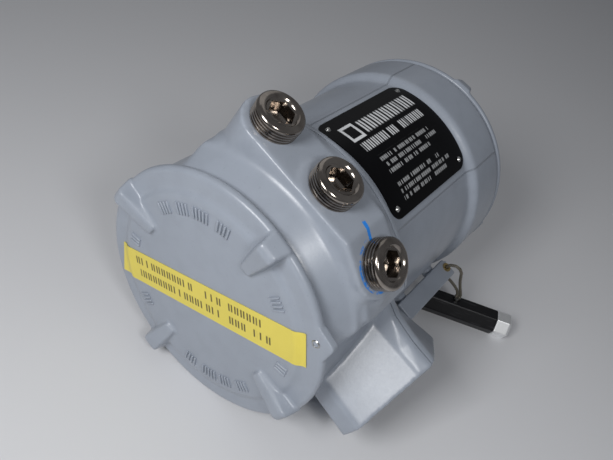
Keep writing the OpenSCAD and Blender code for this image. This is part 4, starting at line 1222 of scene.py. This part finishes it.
class METER_OT_lanyard(bpy.types.Operator):
    """Softens the bar and runs the lanyard from the crimp through its hole and back"""
    bl_idname = "meter.lanyard"
    bl_label = "Lanyard"

    def execute(self, context):
        lanyard = context.scene.meter_lanyard
        bm = copied("lanyard_bar")
        block(bm, *BAR_EDGE, 0.5, LYING)
        bar = cast(bm, "bar", SMALL_GRAIN, 3)
        as_piece(bar, "bar", "head", "grey_paint", ("lanyard_bar",), 180)
        points = [(ORIGIN + Vector(p)) * 0.001 for p in ROUTE]
        curve = bpy.data.curves.new("lanyard", "CURVE")
        curve.dimensions = "3D"
        curve.bevel_depth = lanyard.diameter / 2
        curve.bevel_resolution = 5
        curve.use_fill_caps = True
        spline = curve.splines.new("POLY")
        spline.points.add(len(points) - 1)
        for point, place in zip(spline.points, points):
            point.co = (*place, 1.0)
        curve.materials.append(finish("cord_grey"))
        obj = bpy.data.objects.new("lanyard_wire", curve)
        context.scene.collection.objects.link(obj)
        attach(obj, "head")
        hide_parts("lanyard_loop")
        return {"FINISHED"}


class METER_OT_stylus(bpy.types.Operator):
    """Moulds the hexagonal stylus and its magnet cap"""
    bl_idname = "meter.stylus"
    bl_label = "Stylus"

    def execute(self, context):
        recast("stylus_body", "stylus_handle", "stylus_black", SMALL_GRAIN, 3)
        recast("stylus_magnet", "stylus_cap", "magnet_steel", MAGNET_GRAIN, 2)
        return {"FINISHED"}


PIECES = (METER_OT_stage, METER_OT_finishes, METER_OT_stylus, METER_OT_lanyard, METER_OT_castings,
          METER_OT_covers, METER_OT_label, METER_OT_plugs, METER_OT_adapter)

SETTINGS = {
    "meter_castings": CastingSettings,
    "meter_covers": CoverSettings,
    "meter_label": LabelSettings,
    "meter_plugs": PlugSettings,
    "meter_plate": PlateSettings,
    "meter_lanyard": LanyardSettings,
    "meter_stage": StageSettings,
}


class METER_PT_panel(bpy.types.Panel):
    """Sizes, colours and pieces of the transmitter head"""
    bl_label = "Flow meter head"
    bl_idname = "METER_PT_panel"
    bl_space_type = "VIEW_3D"
    bl_region_type = "UI"
    bl_category = "Flow meter"

    def draw(self, context):
        for name, group in SETTINGS.items():
            box = self.layout.box()
            box.label(text=group.__doc__)
            for field in group.__annotations__:
                box.prop(getattr(context.scene, name), field)
        for piece in PIECES:
            self.layout.operator(piece.bl_idname)


def register():
    for group in SETTINGS.values():
        bpy.utils.register_class(group)
    for name, group in SETTINGS.items():
        setattr(bpy.types.Scene, name, bpy.props.PointerProperty(type=group))
    for piece in PIECES:
        bpy.utils.register_class(piece)
    bpy.utils.register_class(METER_PT_panel)


def unregister():
    bpy.utils.unregister_class(METER_PT_panel)
    for piece in reversed(PIECES):
        bpy.utils.unregister_class(piece)
    for name in SETTINGS:
        delattr(bpy.types.Scene, name)
    for group in reversed(SETTINGS.values()):
        bpy.utils.unregister_class(group)


def main():
    register()
    for piece in PIECES:
        group, name = piece.bl_idname.split(".")
        getattr(getattr(bpy.ops, group), name)()


if __name__ == "__main__":
    main()
